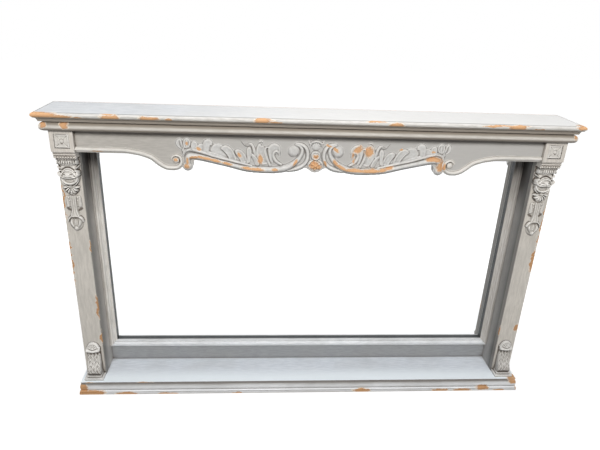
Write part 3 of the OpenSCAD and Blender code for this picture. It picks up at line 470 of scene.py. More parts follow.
    def soften(self, times):
        h = self.height
        for _ in range(times):
            p = np.pad(h, 1, mode="edge")
            h = (4 * h + 2 * (p[1:-1, :-2] + p[1:-1, 2:] + p[:-2, 1:-1] + p[2:, 1:-1])
                 + p[:-2, :-2] + p[:-2, 2:] + p[2:, :-2] + p[2:, 2:]) / 16
        self.height = h


def relief_piece(name, field, origin, patches=(), mirror=False):
    """The field as a closed piece on a face that looks to the front, at origin in mm."""
    rows, columns = field.x.shape
    bm = bmesh.new()
    bmesh.ops.create_grid(bm, x_segments=columns - 1, y_segments=rows - 1, size=1)
    bm.verts.ensure_lookup_table()
    flat = np.array([v.co[:2] for v in bm.verts])
    column = np.round((flat[:, 0] + 1) / 2 * (columns - 1)).astype(int)
    row = np.round((flat[:, 1] + 1) / 2 * (rows - 1)).astype(int)
    blur = Field(field.x, field.z)
    blur.height = np.maximum(field.height, FLOOR)
    blur.soften(10)
    # a thin skin of old paint round each form, which carries the glaze and painted shade at its
    # foot
    height = np.maximum(field.height, np.where(blur.height > FLOOR + 0.5, 0.25, FLOOR))
    p = np.pad(height, 1, mode="edge")
    bend = p[1:-1, :-2] + p[1:-1, 2:] + p[:-2, 1:-1] + p[2:, 1:-1] - 4 * height

    # what the finish reads: glaze and painted shade in hollows, rubbed ridges and lighter high
    # parts, partly painted highlight, and depth inside the bare spots
    low = blur.height - height
    hollow = np.clip(low / 1.5 - 0.1, 0, 1) + np.clip(bend / 2.0 - 0.1, 0, 1) * 0.4 + field.stain_and_shade
    ridge = (np.clip(-bend / 1.2, 0, 1) * 0.4 + np.clip(-low / 1.5, 0, 1) * 0.7
             + field.shine) * (1 - np.clip(hollow * 0.9, 0, 1))
    bare = np.full(field.x.shape, BARE_LOW)
    for px, pz, rx, rz, turn in patches:
        c, s = math.cos(math.radians(turn)), math.sin(math.radians(turn))
        x, z = field.x - px, field.z - pz
        bare = np.maximum(bare, 1 - np.hypot((c * x + s * z) / rx, (c * z - s * x) / rz))
    sign = -1 if mirror else 1
    layers = {}
    for key, values, least in (("ridge", ridge, 0), ("hollow", hollow, 0),
                               ("bare", bare, BARE_LOW)):
        layers[key] = (bm.verts.layers.float.new(key), np.clip(values, least, 1.5))
    for vert, i, j in zip(bm.verts, row, column):
        vert.co = ((origin[0] + field.x[i, j]) * sign * MM, (origin[1] - height[i, j]) * MM,
                   (origin[2] + field.z[i, j]) * MM)
        for layer, values in layers.values():
            vert[layer] = float(values[i, j])

    # the ground round the form is cut away, and the rest gets a back inside the face behind it
    unused = [f for f in bm.faces
              if all((origin[1] * MM - v.co.y) <= (FLOOR + 0.01) * MM for v in f.verts)]
    bmesh.ops.delete(bm, geom=unused, context="FACES")
    back = bmesh.ops.extrude_face_region(bm, geom=bm.faces[:], use_keep_orig=True)["geom"]
    behind = [v for v in back if isinstance(v, bmesh.types.BMVert)]
    for vert in behind:
        vert.co.y = (origin[1] - 1.5 * FLOOR) * MM
    bmesh.ops.dissolve_limit(bm, angle_limit=0.02, verts=behind,
                             edges=[e for e in back if isinstance(e, bmesh.types.BMEdge)])
    bmesh.ops.recalc_face_normals(bm, faces=bm.faces[:])
    return as_object(bm, name)


def flat_field(x0, x1, z0, z1, pitch):
    x, z = np.meshgrid(np.linspace(x0, x1, int((x1 - x0) / pitch) + 1),
                       np.linspace(z0, z1, int((z1 - z0) / pitch) + 1))
    return Field(x, z)


def toward(angle):
    """Sine and cosine of an angle in degrees."""
    return math.sin(math.radians(angle)), math.cos(math.radians(angle))


def ring(x, z, r, width, height, start=0.0, end=2 * math.pi, count=13):
    return [[x + r * math.cos(a), z + r * math.sin(a), width, height]
            for a in np.linspace(start, end, count)]


def both_ways(half):
    """A line that starts on the middle, with its mirror image before it."""
    return [[-x, *rest] for x, *rest in half[:0:-1]] + half


# The apron: bead, long roll with its leaves, and the cartouche. x is measured out from the middle
# and z from the underside of the head blocks, so one drawing serves both halves.

def apron_bead_field():
    work = flat_field(392, 703, -54, 16, 1.1)
    work.stroke([[702, 6.3, 6.3, 6], [640, 6.3, 6.3, 6], [590, 6.3, 6.3, 6], [560, 5.5, 6.3, 6],
                 [538, 2.3, 6.3, 6], [518, -1.5, 6.3, 6], [488, -12, 6.3, 6], [468, -27.5, 6.3, 6],
                 [454, -37.5, 6.3, 6], [441, -43, 6.3, 6], [425, -44.5, 6, 6], [411, -41.5, 5.6, 6],
                 [402, -33, 5, 6], [399.5, -21, 4.6, 6], [404, -10.5, 4.2, 6], [414, -6, 4, 6],
                 [424, -9, 3.4, 5], [430, -17, 2, 3.5]], full=2.2)
    work.dome(415.5, -21, 9.5, 6)
    # painted shade round the lower side of the knob
    work.smear(ring(415.5, -21, 10, 1.4, 0.7, 2.8, 6.6, 9), steps=2)
    work.soften(1)
    return work


def apron_carving_field():
    work = flat_field(17, 422, -58, 50, 1.15)
    # leaves behind the roll, from the outside in
    work.leaf([[392, 4], [399, 12], [407, 18], [413, 26], [414, 35], [409, 43], [402, 46],
               [397, 41], [394, 30], [389, 16]], [402, 27], 8.5, 4, lean=(0.04, 0),
              veins=[[[394, 10, 1.6, 1], [401, 24, 2.4, 3], [403, 38, 2, 2]]])
    work.leaf([[388, 16], [393, 26], [393, 38], [387, 46], [379, 47], [372, 40], [371, 29],
               [376, 19]], [382, 32], 9, 4, lean=(0.03, 0),
              veins=[[[384, 18, 1.5, 1], [386, 30, 2.2, 2.5], [385, 42, 1.6, 2]],
                     [[380, 18, 1.5, 1], [377, 30, 2, 2], [378, 40, 1.4, 1.5]]])
    work.leaf([[370, 18], [370, 30], [364, 39], [355, 37], [350, 29], [352, 20], [360, 15]],
              [361, 27], 8, 3, lean=(0.03, 0))
    work.leaf([[358, 14], [353, 25], [344, 31], [335, 31], [330, 23], [331, 12], [338, 7],
               [350, 8]], [343, 19], 7, 2.5, lean=(0.03, 0))
    work.leaf([[312, 8], [309, 24], [301, 32], [289, 32], [277, 27], [268, 17], [260, 3],
               [256, -12], [280, -8]], [285, 12], 3.2, 0.8, lean=(0.02, 0.01), reach=6)
    work.leaf([[333, 4], [336, 18], [336, 31], [332, 41], [324, 46], [315, 45], [308, 39],
               [307, 31], [313, 26], [316, 16], [320, 4]],
              [324, 25], 6.5, 1.2, lean=(0.02, 0.01), reach=9)
    work.dome(311, 30, 4.5, 6.4)
    work.stroke([[322, 6, 4.5, 7.5], [303, 1, 5, 7.5], [285, -5, 4, 6.5], [262, -11.5, 1.5, 4]],
                hollow=2)
    work.leaf([[285, 17], [280, 25], [271, 29], [261, 27], [252, 20], [245, 9], [240, -4],
               [238, -17], [256, -17], [263, -6], [270, 3], [277, 10]],
              [260, 6], 8.5, 4.4, lean=(0.022, 0.006), reach=7)
    work.leaf([[243, 10], [238, 17], [230, 18], [221, 14], [213, 5], [207, -8], [205, -22],
               [221, -25], [229, -14], [236, -3]], [226, -2], 8, 4, lean=(0.025, 0.006), reach=6.5)
    work.leaf([[208, 10], [207, 19], [201, 25], [194, 21], [192, 9], [194, -6], [196, -22],
               [208, -26], [206, -8]], [200, 5], 7.5, 2.5, lean=(0.04, 0))
    # wavy crest with the leaf that hangs from it
    work.leaf([[226, 44], [219, 38], [213, 33], [206, 33], [199, 38], [190, 37], [184, 27],
               [179, 14], [175, 2], [182, -4], [188, 8], [191, 20], [194, 27], [200, 28], [207, 25],
               [214, 28], [221, 36]], [196, 30], 9.5, 2.4, reach=3.5)
    work.stroke([[193, 3, 3, 5], [187, -3, 6.4, 9], [181, -12, 8, 9], [175, -26, 8, 8]],
                hollow=2.4, lean=0.3)
    work.stroke([[172, 38, 2, 5], [167, 43, 2.6, 6], [160, 42, 2.6, 6], [158, 36, 2, 5]])
    work.leaf([[179, -2], [180, 13], [177, 27], [172, 35], [166, 36], [162, 30], [158, 32],
               [154, 24], [153, 8], [148, -8], [142, -24], [162, -30], [172, -16]],
              [165, 6], 8.6, 4.2, lean=(0.03, 0), reach=7)
    # hooked leaf, round leaf and crook
    work.stroke([[137, -30, 4, 6], [144, -14, 4.4, 8], [149.5, 3, 4.4, 9], [152, 16, 4.4, 9.5],
                 [149, 24, 3.6, 9], [143, 25, 2.4, 7]], hollow=1.6, lean=0.25)
    work.leaf([[135, -22], [141, -6], [144, 10], [144, 24], [138, 33], [129, 38], [118, 37],
               [110, 31], [105, 22], [106, 11], [112, 6], [126, 2], [129, -8], [126, -24]],
              [129, 20], 7.6, 2.4, lean=(0.02, 0.01), reach=8)
    work.stroke([[109, -3, 2.2, 5], [110.5, 8, 3.8, 9], [118, 15, 4.6, 10], [126, 10, 4.8, 10.5],
                 [127.5, -2, 5.6, 10.5], [120, -17, 6, 10], [104, -27, 4.5, 8]],
                full=2.0, hollow=1.2, lean=0.2)
    # middle volute and the bands that run out of it
    work.dome(66, 15, 18.5, 8.5, full=3.2)
    work.stroke([[60, 39, 3, 5], [46, 36.5, 5, 9], [33, 28.5, 6, 11], [25.5, 14, 6.3, 11.5],
                 [24.5, -3, 6.3, 11.5], [29, -18, 6.2, 11], [40, -30, 6, 10], [58, -39, 6, 9],
                 [84, -46, 3, 6]], hollow=1)
    # the roll: a rounded band with a lighter one along its top
    work.stroke([[382, -36, 9, 9], [381, -24, 9, 9.5], [381, -13, 9, 10.5], [374, -7, 10, 11.5],
                 [362, -6, 10, 12], [340, -9, 9.5, 12], [303, -17.5, 9, 12], [265, -26.5, 8.4, 12],
                 [236, -34, 8.4, 12], [203, -41, 9, 12], [160, -43.5, 9.6, 12], [120, -43, 9.6, 12],
                 [90, -37, 10.5, 12], [70, -26, 10, 11], [54, -12, 8, 10], [44, 4, 7, 10],
                 [41.5, 19, 6.5, 10], [48, 30.5, 5.4, 9], [61, 35, 3.6, 6.5]])
    work.stroke([[393, -7, 3.5, 5], [389, 6, 5.5, 7.5], [374, 13.5, 6.5, 8.5], [352, 10.5, 7, 9],
                 [330, 4, 6.5, 9], [300, -5.5, 6, 9], [260, -15.5, 5.5, 8.6], [222, -25, 4.5, 8],
                 [192, -32.5, 3, 6.5]], full=2.2)
    work.dome(382, -37, 13.5, 9.5, full=2.6)
    work.groove([[392, -12, 1.6, 1.5], [386, -2, 2, 2], [372, 3.5, 2, 2], [350, 1.5, 2, 2],
                 [326, -3.5, 1.8, 1.9], [300, -11, 1.8, 1.8], [262, -20.5, 1.8, 1.6],
                 [226, -30, 1.6, 1.2], [200, -36, 1.2, 1]])
    work.groove([[377, -40, 1.4, 1], [384, -44, 1.6, 2], [389, -38, 1.6, 2.4], [385, -31, 1.6, 2.2],
                 [378, -34, 1.2, 1.2]])
    work.groove([[84, -27, 1.6, 1.6], [66, -12, 1.9, 2.6], [56, 2, 1.9, 2.8], [52, 16, 1.6, 2.2]])
    # dark glaze and painted shade under the wavy crest, beside the leaves and under the volute
    work.smear([[227, 45, 1.4, 1], [221, 38, 1.8, 1], [214, 30.5, 1.8, 1], [206, 30, 1.6, 1],
                [199, 34, 1.6, 0.9], [195, 29, 1.4, 0.9], [191, 20, 1.4, 0.8], [188, 14, 1, 0.5]])
    work.smear([[392, 22, 1.2, 0.6], [398, 12, 1.6, 0.9], [395, 2, 1.6, 1], [390, -4, 1.2, 0.6]])
    work.smear([[386, 10, 1.2, 0.6], [380, 16, 1.8, 0.8], [370, 16, 1.6, 0.7], [362, 10, 1.2, 0.5]])
    work.smear([[283, 19, 1.2, 0.8], [275, 12, 1.6, 0.8], [266, -1, 1.6, 0.8], [260, -12, 1, 0.4]])
    work.smear([[242, 13, 1.2, 0.7], [241, 3, 1.6, 0.8], [235, -10, 1.4, 0.6]])
    work.smear([[84, 10, 1.2, 0.5], [81, 3, 1.8, 0.8], [74, -2.5, 2, 0.9], [66, -4, 1.6, 0.6]])
    work.soften(1)
    return work


def cartouche_field():
    work = flat_field(-26, 26, -52, 53, 0.9)
    # fluted shell under a hood, with a horn at each side
    work.dome(0, 31, 14.5, 7, full=2.6)
    for a in (-60, -36, -12, 12, 36, 60):
        s, c = toward(a)
        work.groove([[3 * s, 24 + 3 * c, 0.9, 0.8], [15 * s, 24 + 17 * c, 1.6, 2.2]])
    work.stroke(both_ways([[0, 46.5, 4.4, 10], [14.5, 41, 3.8, 9], [18.5, 29, 2.2, 5]]), full=2.0)
    for s in (-1, 1):
        work.stroke([[s * 15, 36, 3, 6], [s * 21, 42, 2.6, 7], [s * 23, 48, 1.2, 4]])
        work.stroke([[s * 9, -13, 3, 6], [s * 16, -17, 3.6, 8], [s * 21, -25, 3.4, 8],
                     [s * 22, -34, 2, 5]], hollow=1.2)
    # round boss: a smooth ring and a raised eye
    work.dome(0, 3, 16, 8, full=3.4)
    work.stroke(ring(0, 3, 11.6, 3.4, 10, count=17), steps=2)
    work.dome(0, 3, 7.6, 12.5, full=2.4)
    # flower boss of six petals at the foot
    for a in range(0, 360, 60):
        s, c = toward(a)
        work.stroke([[4 * s, -30 + 4 * c, 3, 8], [10 * s, -30 + 10 * c, 5.2, 9.5],
                     [15.5 * s, -30 + 15.5 * c, 3, 5]], hollow=2.2, steps=3)
    work.dome(0, -30, 6.6, 12.5, full=2.2)
    work.soften(1)
    return work


# The pilasters' carving: a drop under each head block, a corbel at each foot, and a rosette above

def drop_field():
    work = flat_field(-34, 34, -267, -20, 0.8)
    # swelling body behind the leaf band and the shell
    work.stroke([[0, -20, 29, 21], [0, -31, 29, 22], [0, -40, 28, 19], [0, -50, 28, 16],
                 [0, -60, 30, 19], [0, -72, 31.5, 23], [0, -80, 31, 21], [0, -85, 27, 14]], full=5)
    # leaf band: a row of full lobes, each with a bud over it, and a small curl at each end
    # painted shade under the leaf band
    work.smear(both_ways([[0, -48, 2, 0.9], [14, -47, 2, 0.8], [30, -45, 1.6, 0.5]]))
    for x in range(-28, 29, 7):
        fall = abs(x) / 7
        work.dome(x, -26, 3.8, 5, lift=23 - fall * 0.4)
        work.stroke([[x, -30, 3, 25 - fall * 0.4], [x * 1.02, -36, 4.4, 28.6 - fall * 0.6],
                     [x * 1.05, -41.5, 3.2, 25 - fall * 0.6]], full=2.0)
    for s in (-1, 1):
        work.stroke([[s * 23, -55, 1.6, 20], [s * 28, -53, 2.6, 23], [s * 31, -50, 2, 20]],
                     full=2.4)
        # side scrolls of the shell, each with its eye
        work.dome(s * 25, -72, 7.6, 6, lift=20)
        work.stroke([[s * 18, -63, 2.4, 23], [s * 22.5, -61.5, 3.0, 26], [s * 28.5, -65, 3.0, 26],
                     [s * 31, -71, 2.6, 24], [s * 28, -77, 2.4, 23]], full=2.2)
        work.groove([[s * 21, -68, 1.3, 2], [s * 25, -67, 1.5, 3], [s * 28, -71, 1.5, 3],
                     [s * 25.5, -75, 1.4, 2.6], [s * 22, -74, 1.2, 2]])
    # smooth shell under an arched rim, with a small fan at its foot
    arch = [[math.sin(a), math.cos(a)] for a in np.linspace(-1.45, 1.45, 11)]
    # painted shade along the arched rim
    work.smear([[24 * s, -75 + 23.5 * c, 4.4, 0.9 * max(c, 0) ** 1.2] for s, c in arch], steps=2)
    work.groove([[24.5 * s, -75 + 22 * c, 2.4, 4.5] for s, c in arch], steps=2)
    share = np.hypot(work.x / 17, np.maximum(work.z + 78, 0) / 16)
    shell = 21 + 8.5 * np.sqrt(np.clip(1 - share ** 2, 0, 1))
    work.add(np.where((share < 1) & (work.z > -80), shell, NO_WOOD))
    work.stroke([[20 * s, -77 + 16.5 * c, 2.8, 27] for s, c in arch], steps=2)
    # painted shade over the top of the shell and between the rays of the fan
    work.smear(both_ways([[0, -65, 2.4, 0.6], [12, -69, 2, 0.5]]))
    for s in (-1, 1):
        work.smear([[s * 5, -73, 1.2, 0.8], [s * 9, -71, 2, 1.3], [s * 13.5, -72, 1.6, 1.2]])
    for a in (-66, -33, 0, 33, 66):
        s, c = toward(a)
        work.stroke([[2 * s, -80 + 2 * c, 1.4, 29], [7 * s, -80 + 8 * c, 2.3, 33],
                     [8.5 * s, -80 + 11 * c, 0.8, 29]], full=2)
    # rolled lip
    work.stroke(both_ways([[0, -83, 4.4, 27], [18, -81.6, 4.2, 25.5], [32, -76, 3, 20]]), full=2.6)
    # crescent bowl: a smooth rim that rises to both sides round a middle, with painted shade in the
    # middle, under the lip and under the bowl
    work.stroke([[0, -84, 24, 14], [0, -92, 22, 13], [0, -100, 14, 12], [0, -106, 4, 9]], full=5)
    work.stroke(both_ways([[0, -103.8, 6, 20], [12.5, -101, 6, 19.5], [21.5, -93.5, 5.4, 18.5],
                           [24, -86, 4, 17]]), full=2.4)
    work.smear(both_ways([[0, -88.5, 2, 0.8], [22, -86.5, 2, 0.8]]))
    work.smear(both_ways([[0, -94.5, 3, 0.5], [12, -90, 2, 0.3]]))
    work.smear(both_ways([[0, -111, 1.8, 0.7], [11, -108.5, 1.8, 0.7], [20, -102, 1.4, 0.5]]))
    # palmette of seven lobes under a knob, with a curl over each side
    for a in (-80, -53, -26.5, 0, 26.5, 53, 80):
        s, c = toward(a)
        work.stroke([[4.5 * s, -113 - 4.5 * c, 2, 12], [12 * s, -113 - 13 * c, 3.2, 17],
                     [18.5 * s, -113 - 20.5 * c, 4, 18], [24 * s, -113 - 25.5 * c, 2.6, 12]],
                     full=2.1)
        work.groove([[8 * s, -113 - 9 * c, 0.5, 0.5], [20 * s, -113 - 22 * c, 1, 1.3]])
    work.dome(0, -113, 4.8, 7, lift=13)
    # painted shade round the tips of the palmette
    work.smear([[25 * math.sin(a), -113 - 30.5 * math.cos(a), 3, 1]
                for a in np.linspace(-1.1, 1.1, 9)], steps=2)
    for s in (-1, 1):
        work.stroke([[s * 7, -110.5, 1.8, 13], [s * 13, -109.5, 2.4, 17], [s * 19.5, -104, 2.6, 17],
                     [s * 24.5, -98.5, 2.0, 14], [s * 26, -93.5, 1.2, 9]], full=2.2)
        work.groove([[s * 5, -117.5, 0.8, 1], [s * 12, -115, 1.3, 3], [s * 21, -111, 1.3, 3]])
        # berries, the leaf that runs down to the shoulder, and the dark angle under it, partly
        # glaze and partly painted shade
        work.dome(s * 13.8, -152, 4.2, 8.5)
        work.dome(s * 13, -161.5, 3.5, 7.5)
        work.stroke([[s * 20, -149, 2, 4], [s * 20, -156, 4, 6], [s * 19, -166, 5.4, 7.4],
                     [s * 18.6, -174, 6.4, 8.4], [s * 18.4, -178, 6.4, 8.4]], full=3)
        work.groove([[s * 19, -154, 0.8, 0.8], [s * 17.6, -166, 1.2, 2], [s * 17, -178, 1.2, 1.6]])
        work.groove([[s * 23, -158, 0.7, 0.6], [s * 22, -168, 1, 1.6], [s * 22, -178, 1, 1.4]])
        work.smear([[s * 14, -194, 4.2, 1.2], [s * 18.5, -190.8, 6, 1.2], [s * 23, -188, 4.4, 1.2]])
    # fluted stem that narrows under the shoulders and spreads to a hood over the bud
    work.add(np.where((np.abs(work.x) < 23) & (work.z < -147) & (work.z > -181), 4, NO_WOOD), 1.5)
    work.stroke([[0, -143, 12.5, 7], [0, -160, 12.5, 8], [0, -182, 12.5, 8], [0, -194, 12.5, 8.5],
                 [0, -204, 14.5, 10], [0, -210, 17, 11], [0, -212, 18, 11]], full=2.2)
    for x in (-6.6, 0, 6.6):
        work.stroke([[x, -146, 3.2, 8.5], [x, -162, 3.4, 10], [x * 0.95, -190, 3.3, 10],
                     [x * 1.3, -203, 3.9, 11.6], [x * 1.6, -210, 4, 12]], full=2.2)
    # bud: three lobes drawn in to a knob, set back under the hood
    outline = both_ways([[0, -260.5], [9, -257.5], [16.5, -249], [20.5, -238], [20, -229]])
    # painted shade round the outline of the bud
    work.smear([[x * 1.04, z - 1, 2.6, 1.2 - abs(x) / 24] for x, z in outline], steps=3)
    work.stroke([[0, -216, 15, 6], [0, -225, 20.5, 7.5], [0, -236, 22, 9], [0, -246, 17, 9.5],
                 [0, -253, 10.5, 9], [0, -258, 4.5, 5]], full=2)
    for s in (-1, 1):
        work.stroke([[s * 11, -221, 4, 8], [s * 13.5, -229, 6.4, 12.5], [s * 11.5, -238, 6, 13.5],
                     [s * 7, -247, 4, 12]], full=2.2)
    work.stroke([[0, -217, 4, 9], [0, -229, 4.6, 11], [0, -240, 3.6, 11.5]], full=2.4)
    work.dome(0, -251, 8, 6.5, lift=8)
    hood = both_ways([[0, -211], [11.5, -213.5], [20, -220.5], [23.5, -229]])
    work.stroke([[x, z, 3 if abs(x) > 22 else 3.4, 11.5 if abs(x) > 22 else 12.5] for x, z in hood],
                full=2.2)
    # painted shade under the hood and in the creases of the bud
    work.smear([[x * 0.86, z - 5.6, 4, 1.4 - abs(x) / 17] for x, z in hood])
    work.smear(both_ways([[0, -243.5, 1.6, 0.5], [8, -246, 1.3, 0.4]]))
    for s in (-1, 1):
        work.smear([[s * 5.6, -219, 1, 0.4], [s * 6.6, -230, 1.3, 0.5], [s * 5, -240, 1, 0.3]])
    work.soften(1)
    work.x = 0.95 * work.x
    # the dark line under the beads, painted shade, and the lighter high parts, partly rubbed and
    # partly painted highlight
    work.stain_and_shade = np.maximum(work.stain_and_shade, np.clip((work.z + 29) / 2, 0, 1) * 0.9)
    work.shine = np.clip((work.height - 10) / 9, 0, 1) * 0.85
    return work


def corbel_field():
    low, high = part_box("foot_corbel_right")
    half, tall, out = ((high.x - low.x) / 2 / MM, (high.z - low.z) / MM, (high.y - low.y) / MM)
    work = flat_field(-half - 0.8, half + 0.8, -0.8, tall + 0.8, 0.75)
    x, z = work.x, work.z
    lip = tall * 0.68
    # leaf body: a long hollow curve that swells forward over the foot
    swell = out * 0.48
    curve = out * 0.2 + lip * 1.6 - np.sqrt(np.maximum((lip * 1.6) ** 2 - (lip * 1.1 - z) ** 2, 0))
    foot = out - swell + np.sqrt(np.maximum(swell ** 2 - (z - swell) ** 2, 0))
    body = np.where(z < swell, foot, np.minimum(curve, out))
    edge = np.clip((half - np.abs(x)) / 1.6, -1, 1)
    body = np.where((z >= 0) & (z < lip + 10), body, NO_WOOD)
    body = body * np.where(edge > 0, 1 - 0.12 * (1 - edge) ** 2, 1)
    work.add(np.where(edge < 0, NO_WOOD, body))
    # small curls all over the leaf, as gouge cuts that wander across and up
    curls = (np.sin(0.62 * x + 2.1 * np.sin(0.17 * z + 0.4))
             + np.sin(0.41 * z + 2.3 * np.sin(0.29 * x + 1.3))
             + 0.8 * np.sin(0.9 * x + 0.75 * z) + 0.8 * np.sin(1.1 * np.abs(x) - 0.6 * z + 1)) / 2
    cut = 0.9 * (curls - 1) * np.clip(edge, 0, 1)
    work.height = work.height + np.where((edge > 0) & (z < lip + 4), cut, 0)
    for s in (-1, 1):
        work.groove([[s * 18, lip * 0.2, 1.2, 1], [s * 14, lip * 0.36, 1.6, 1.8],
                     [s * 8, lip * 0.3, 1.6, 1.8], [s * 6, lip * 0.18, 1.2, 1]])
    # cap: a domed half disc that leans back, and the rolled lip under it
    cap = np.sqrt(np.maximum((1.75 * half) ** 2 - x ** 2 - (z - tall + half * 1.33) ** 2, 0)) - half
    cap = np.where(z > lip + 4, np.maximum(cap, 3.4), NO_WOOD)
    share = np.hypot(x / (half * 0.9), np.maximum(z - lip - 12, 0) / (tall - 16.5 - lip))
    work.add(np.where(share < 1, cap, (1 - share) * half * 4))
    work.stroke(both_ways([[0, lip + 7, 8.6, out * 0.68], [half - 1, lip + 8.5, 8, out * 0.62]]),
                full=2.6)
    # painted shade in scallops under the lip and down the sides, and brown glaze at the foot and in
    # the curls
    points = 13 + 4.5 * np.cos(x * 0.55 + 0.6)
    for stain_and_shade in (np.clip((points - (lip + 1 - z)) / 3, 0, 1.3) * (z < lip + 2) * (edge > 0),
                  np.clip(0.8 - z / 36, 0, 0.6) + np.clip(-curls - 0.2, 0, 0.6) * (z < lip),
                  0.7 * np.clip(np.abs(x) - half + 3.4, 0, 1) * (z < lip + 2)):
        work.stain_and_shade = np.maximum(work.stain_and_shade, stain_and_shade)
    work.height = np.where(np.abs(x) > half, np.minimum(work.height, -1), work.height)
    # floret: five petals round an eye, inside a thin ring
    top = lip + 15
    work.groove([[15.5 * math.cos(a), top + 14 * math.sin(a), 1.3, 2.4]
                 for a in np.linspace(0, math.pi, 13)])
    work.groove(both_ways([[0, top - 3.8, 1.6, 3.2], [7, top - 3, 1.5, 3], [15, top, 1, 1.8]]))
    for a in (18, 54, 90, 126, 162):
        for turn in (-18, 18):
            up, across = toward(a + turn)
            work.groove([[4 * across, top + 4 * up, 0.8, 1.4],
                         [12.5 * across, top + 12 * up, 1.4, 2.8]])
        up, across = toward(a)
        work.raise_spot(9.5 * across, top + 9 * up, 3.2, 1.6)
    work.raise_spot(0, top, 4, 2.2)
    work.soften(1)
    work.height = np.minimum(work.height, out)
    belly = np.clip(1.2 - np.hypot(x / half, (z - lip * 0.55) / (lip * 0.42)), 0, 1)
    work.shine = np.where(z > lip, 0.6 + 0.4 * curls, 1.5 * np.clip(curls, 0, 1) * belly)
    return work


def rosette_field():
    work = flat_field(-21.4, 21.4, -21.4, 21.4, 0.7)
    # four broad petals that fill the square and part on the diagonals, and a round eye
    square = np.maximum(np.abs(work.x), np.abs(work.z))
    petal = (3.9 - 1.3 * np.clip(1 - ((square - 13) / 4.5) ** 2, 0, 1)
             - 0.8 * np.clip(square - 18, 0, 3))
    work.add(np.where(square < 20.4, petal, NO_WOOD))
    for a in (45, 135, 225, 315):
        s, c = toward(a)
        work.groove([[5 * c, 5 * s, 0.9, 1.2], [13 * c, 13 * s, 1.5, 2.2],
                     [20 * c, 20 * s, 1.7, 2.2], [27 * c, 27 * s, 1.2, 1]])
        for turn in (-13, 13):
            up, across = toward(a + turn)
            work.groove([[15 * across, 15 * up, 0.6, 0.5], [21 * across, 21 * up, 1.1, 1.4]])
    work.groove(ring(0, 0, 6, 1.4, 1.8))
    # painted shade under the eye
    work.smear(both_ways([[0, -7.2, 2, 1.1], [3, -6, 1.6, 0.8]]))
    work.dome(0, 0, 4.4, 4.8)
    work.soften(1)
    # painted shade along the top and bottom edges of the sunk square
    shade = np.clip((np.abs(work.z) - 18.2) / 1.6, 0, 1.2) * (np.abs(work.x) < 16)
    work.stain_and_shade = np.maximum(work.stain_and_shade, shade)
    work.shine = np.full(work.x.shape, 0.3)
    return work


# Where the paint has worn through to the timber, in mm. On a carving each spot is its middle across
# and up, its two radii and its turn in degrees. On a board it is its middle and its three radii.

CARVING_WEAR = {
    "bead_left": [(640, 2, 22, 3, 0), (416, -19, 7, 6, 0)],
    "bead_right": [(399, -25, 5, 13, 0)],
    "scroll_left": [
        (416, -19, 7, 6, 0), (384, -38, 11, 9, 0), (381, -20, 5, 14, 0), (362, -9, 18, 6, -10),
        (330, -10, 30, 5, 12), (300, -17, 20, 5, 12), (264, -26, 18, 5, 12), (228, 0, 11, 6, 60),
        (205, -39, 22, 5, 8), (178, -42, 26, 6, 4), (122, -42, 12, 5, 0), (62, -20, 5, 14, 35),
        (166, -12, 9, 18, 0), (348, 17, 9, 5, 30), (382, 32, 4, 8, 0)],
    "scroll_right": [
        (385, -24, 15, 20, 0), (362, 0, 24, 8, -10), (372, -3, 18, 7, 0), (350, -2, 16, 6, 0),
        (226, -30, 15, 6, 14), (205, -38, 18, 6, 10), (172, -41, 44, 7, 2), (122, -40, 46, 6, -3),
        (80, -32, 26, 6, -30), (60, -18, 7, 15, 35), (60, 22, 13, 6, -40), (29, -20, 5, 12, 20),
        (161, 18, 16, 20, 0), (127, 24, 17, 12, 35), (114, -2, 6, 20, 5), (38, 34, 12, 3.5, -15),
        (256, 27, 9, 4, 0), (358, 22, 8, 4, 0)],
    "drop": [(30.5, -62, 3, 16, 0)],
    "cartouche": [(0, 1, 10, 8, 0), (-3, -28, 20, 17, 20), (10, -34, 12, 9, 0)]}

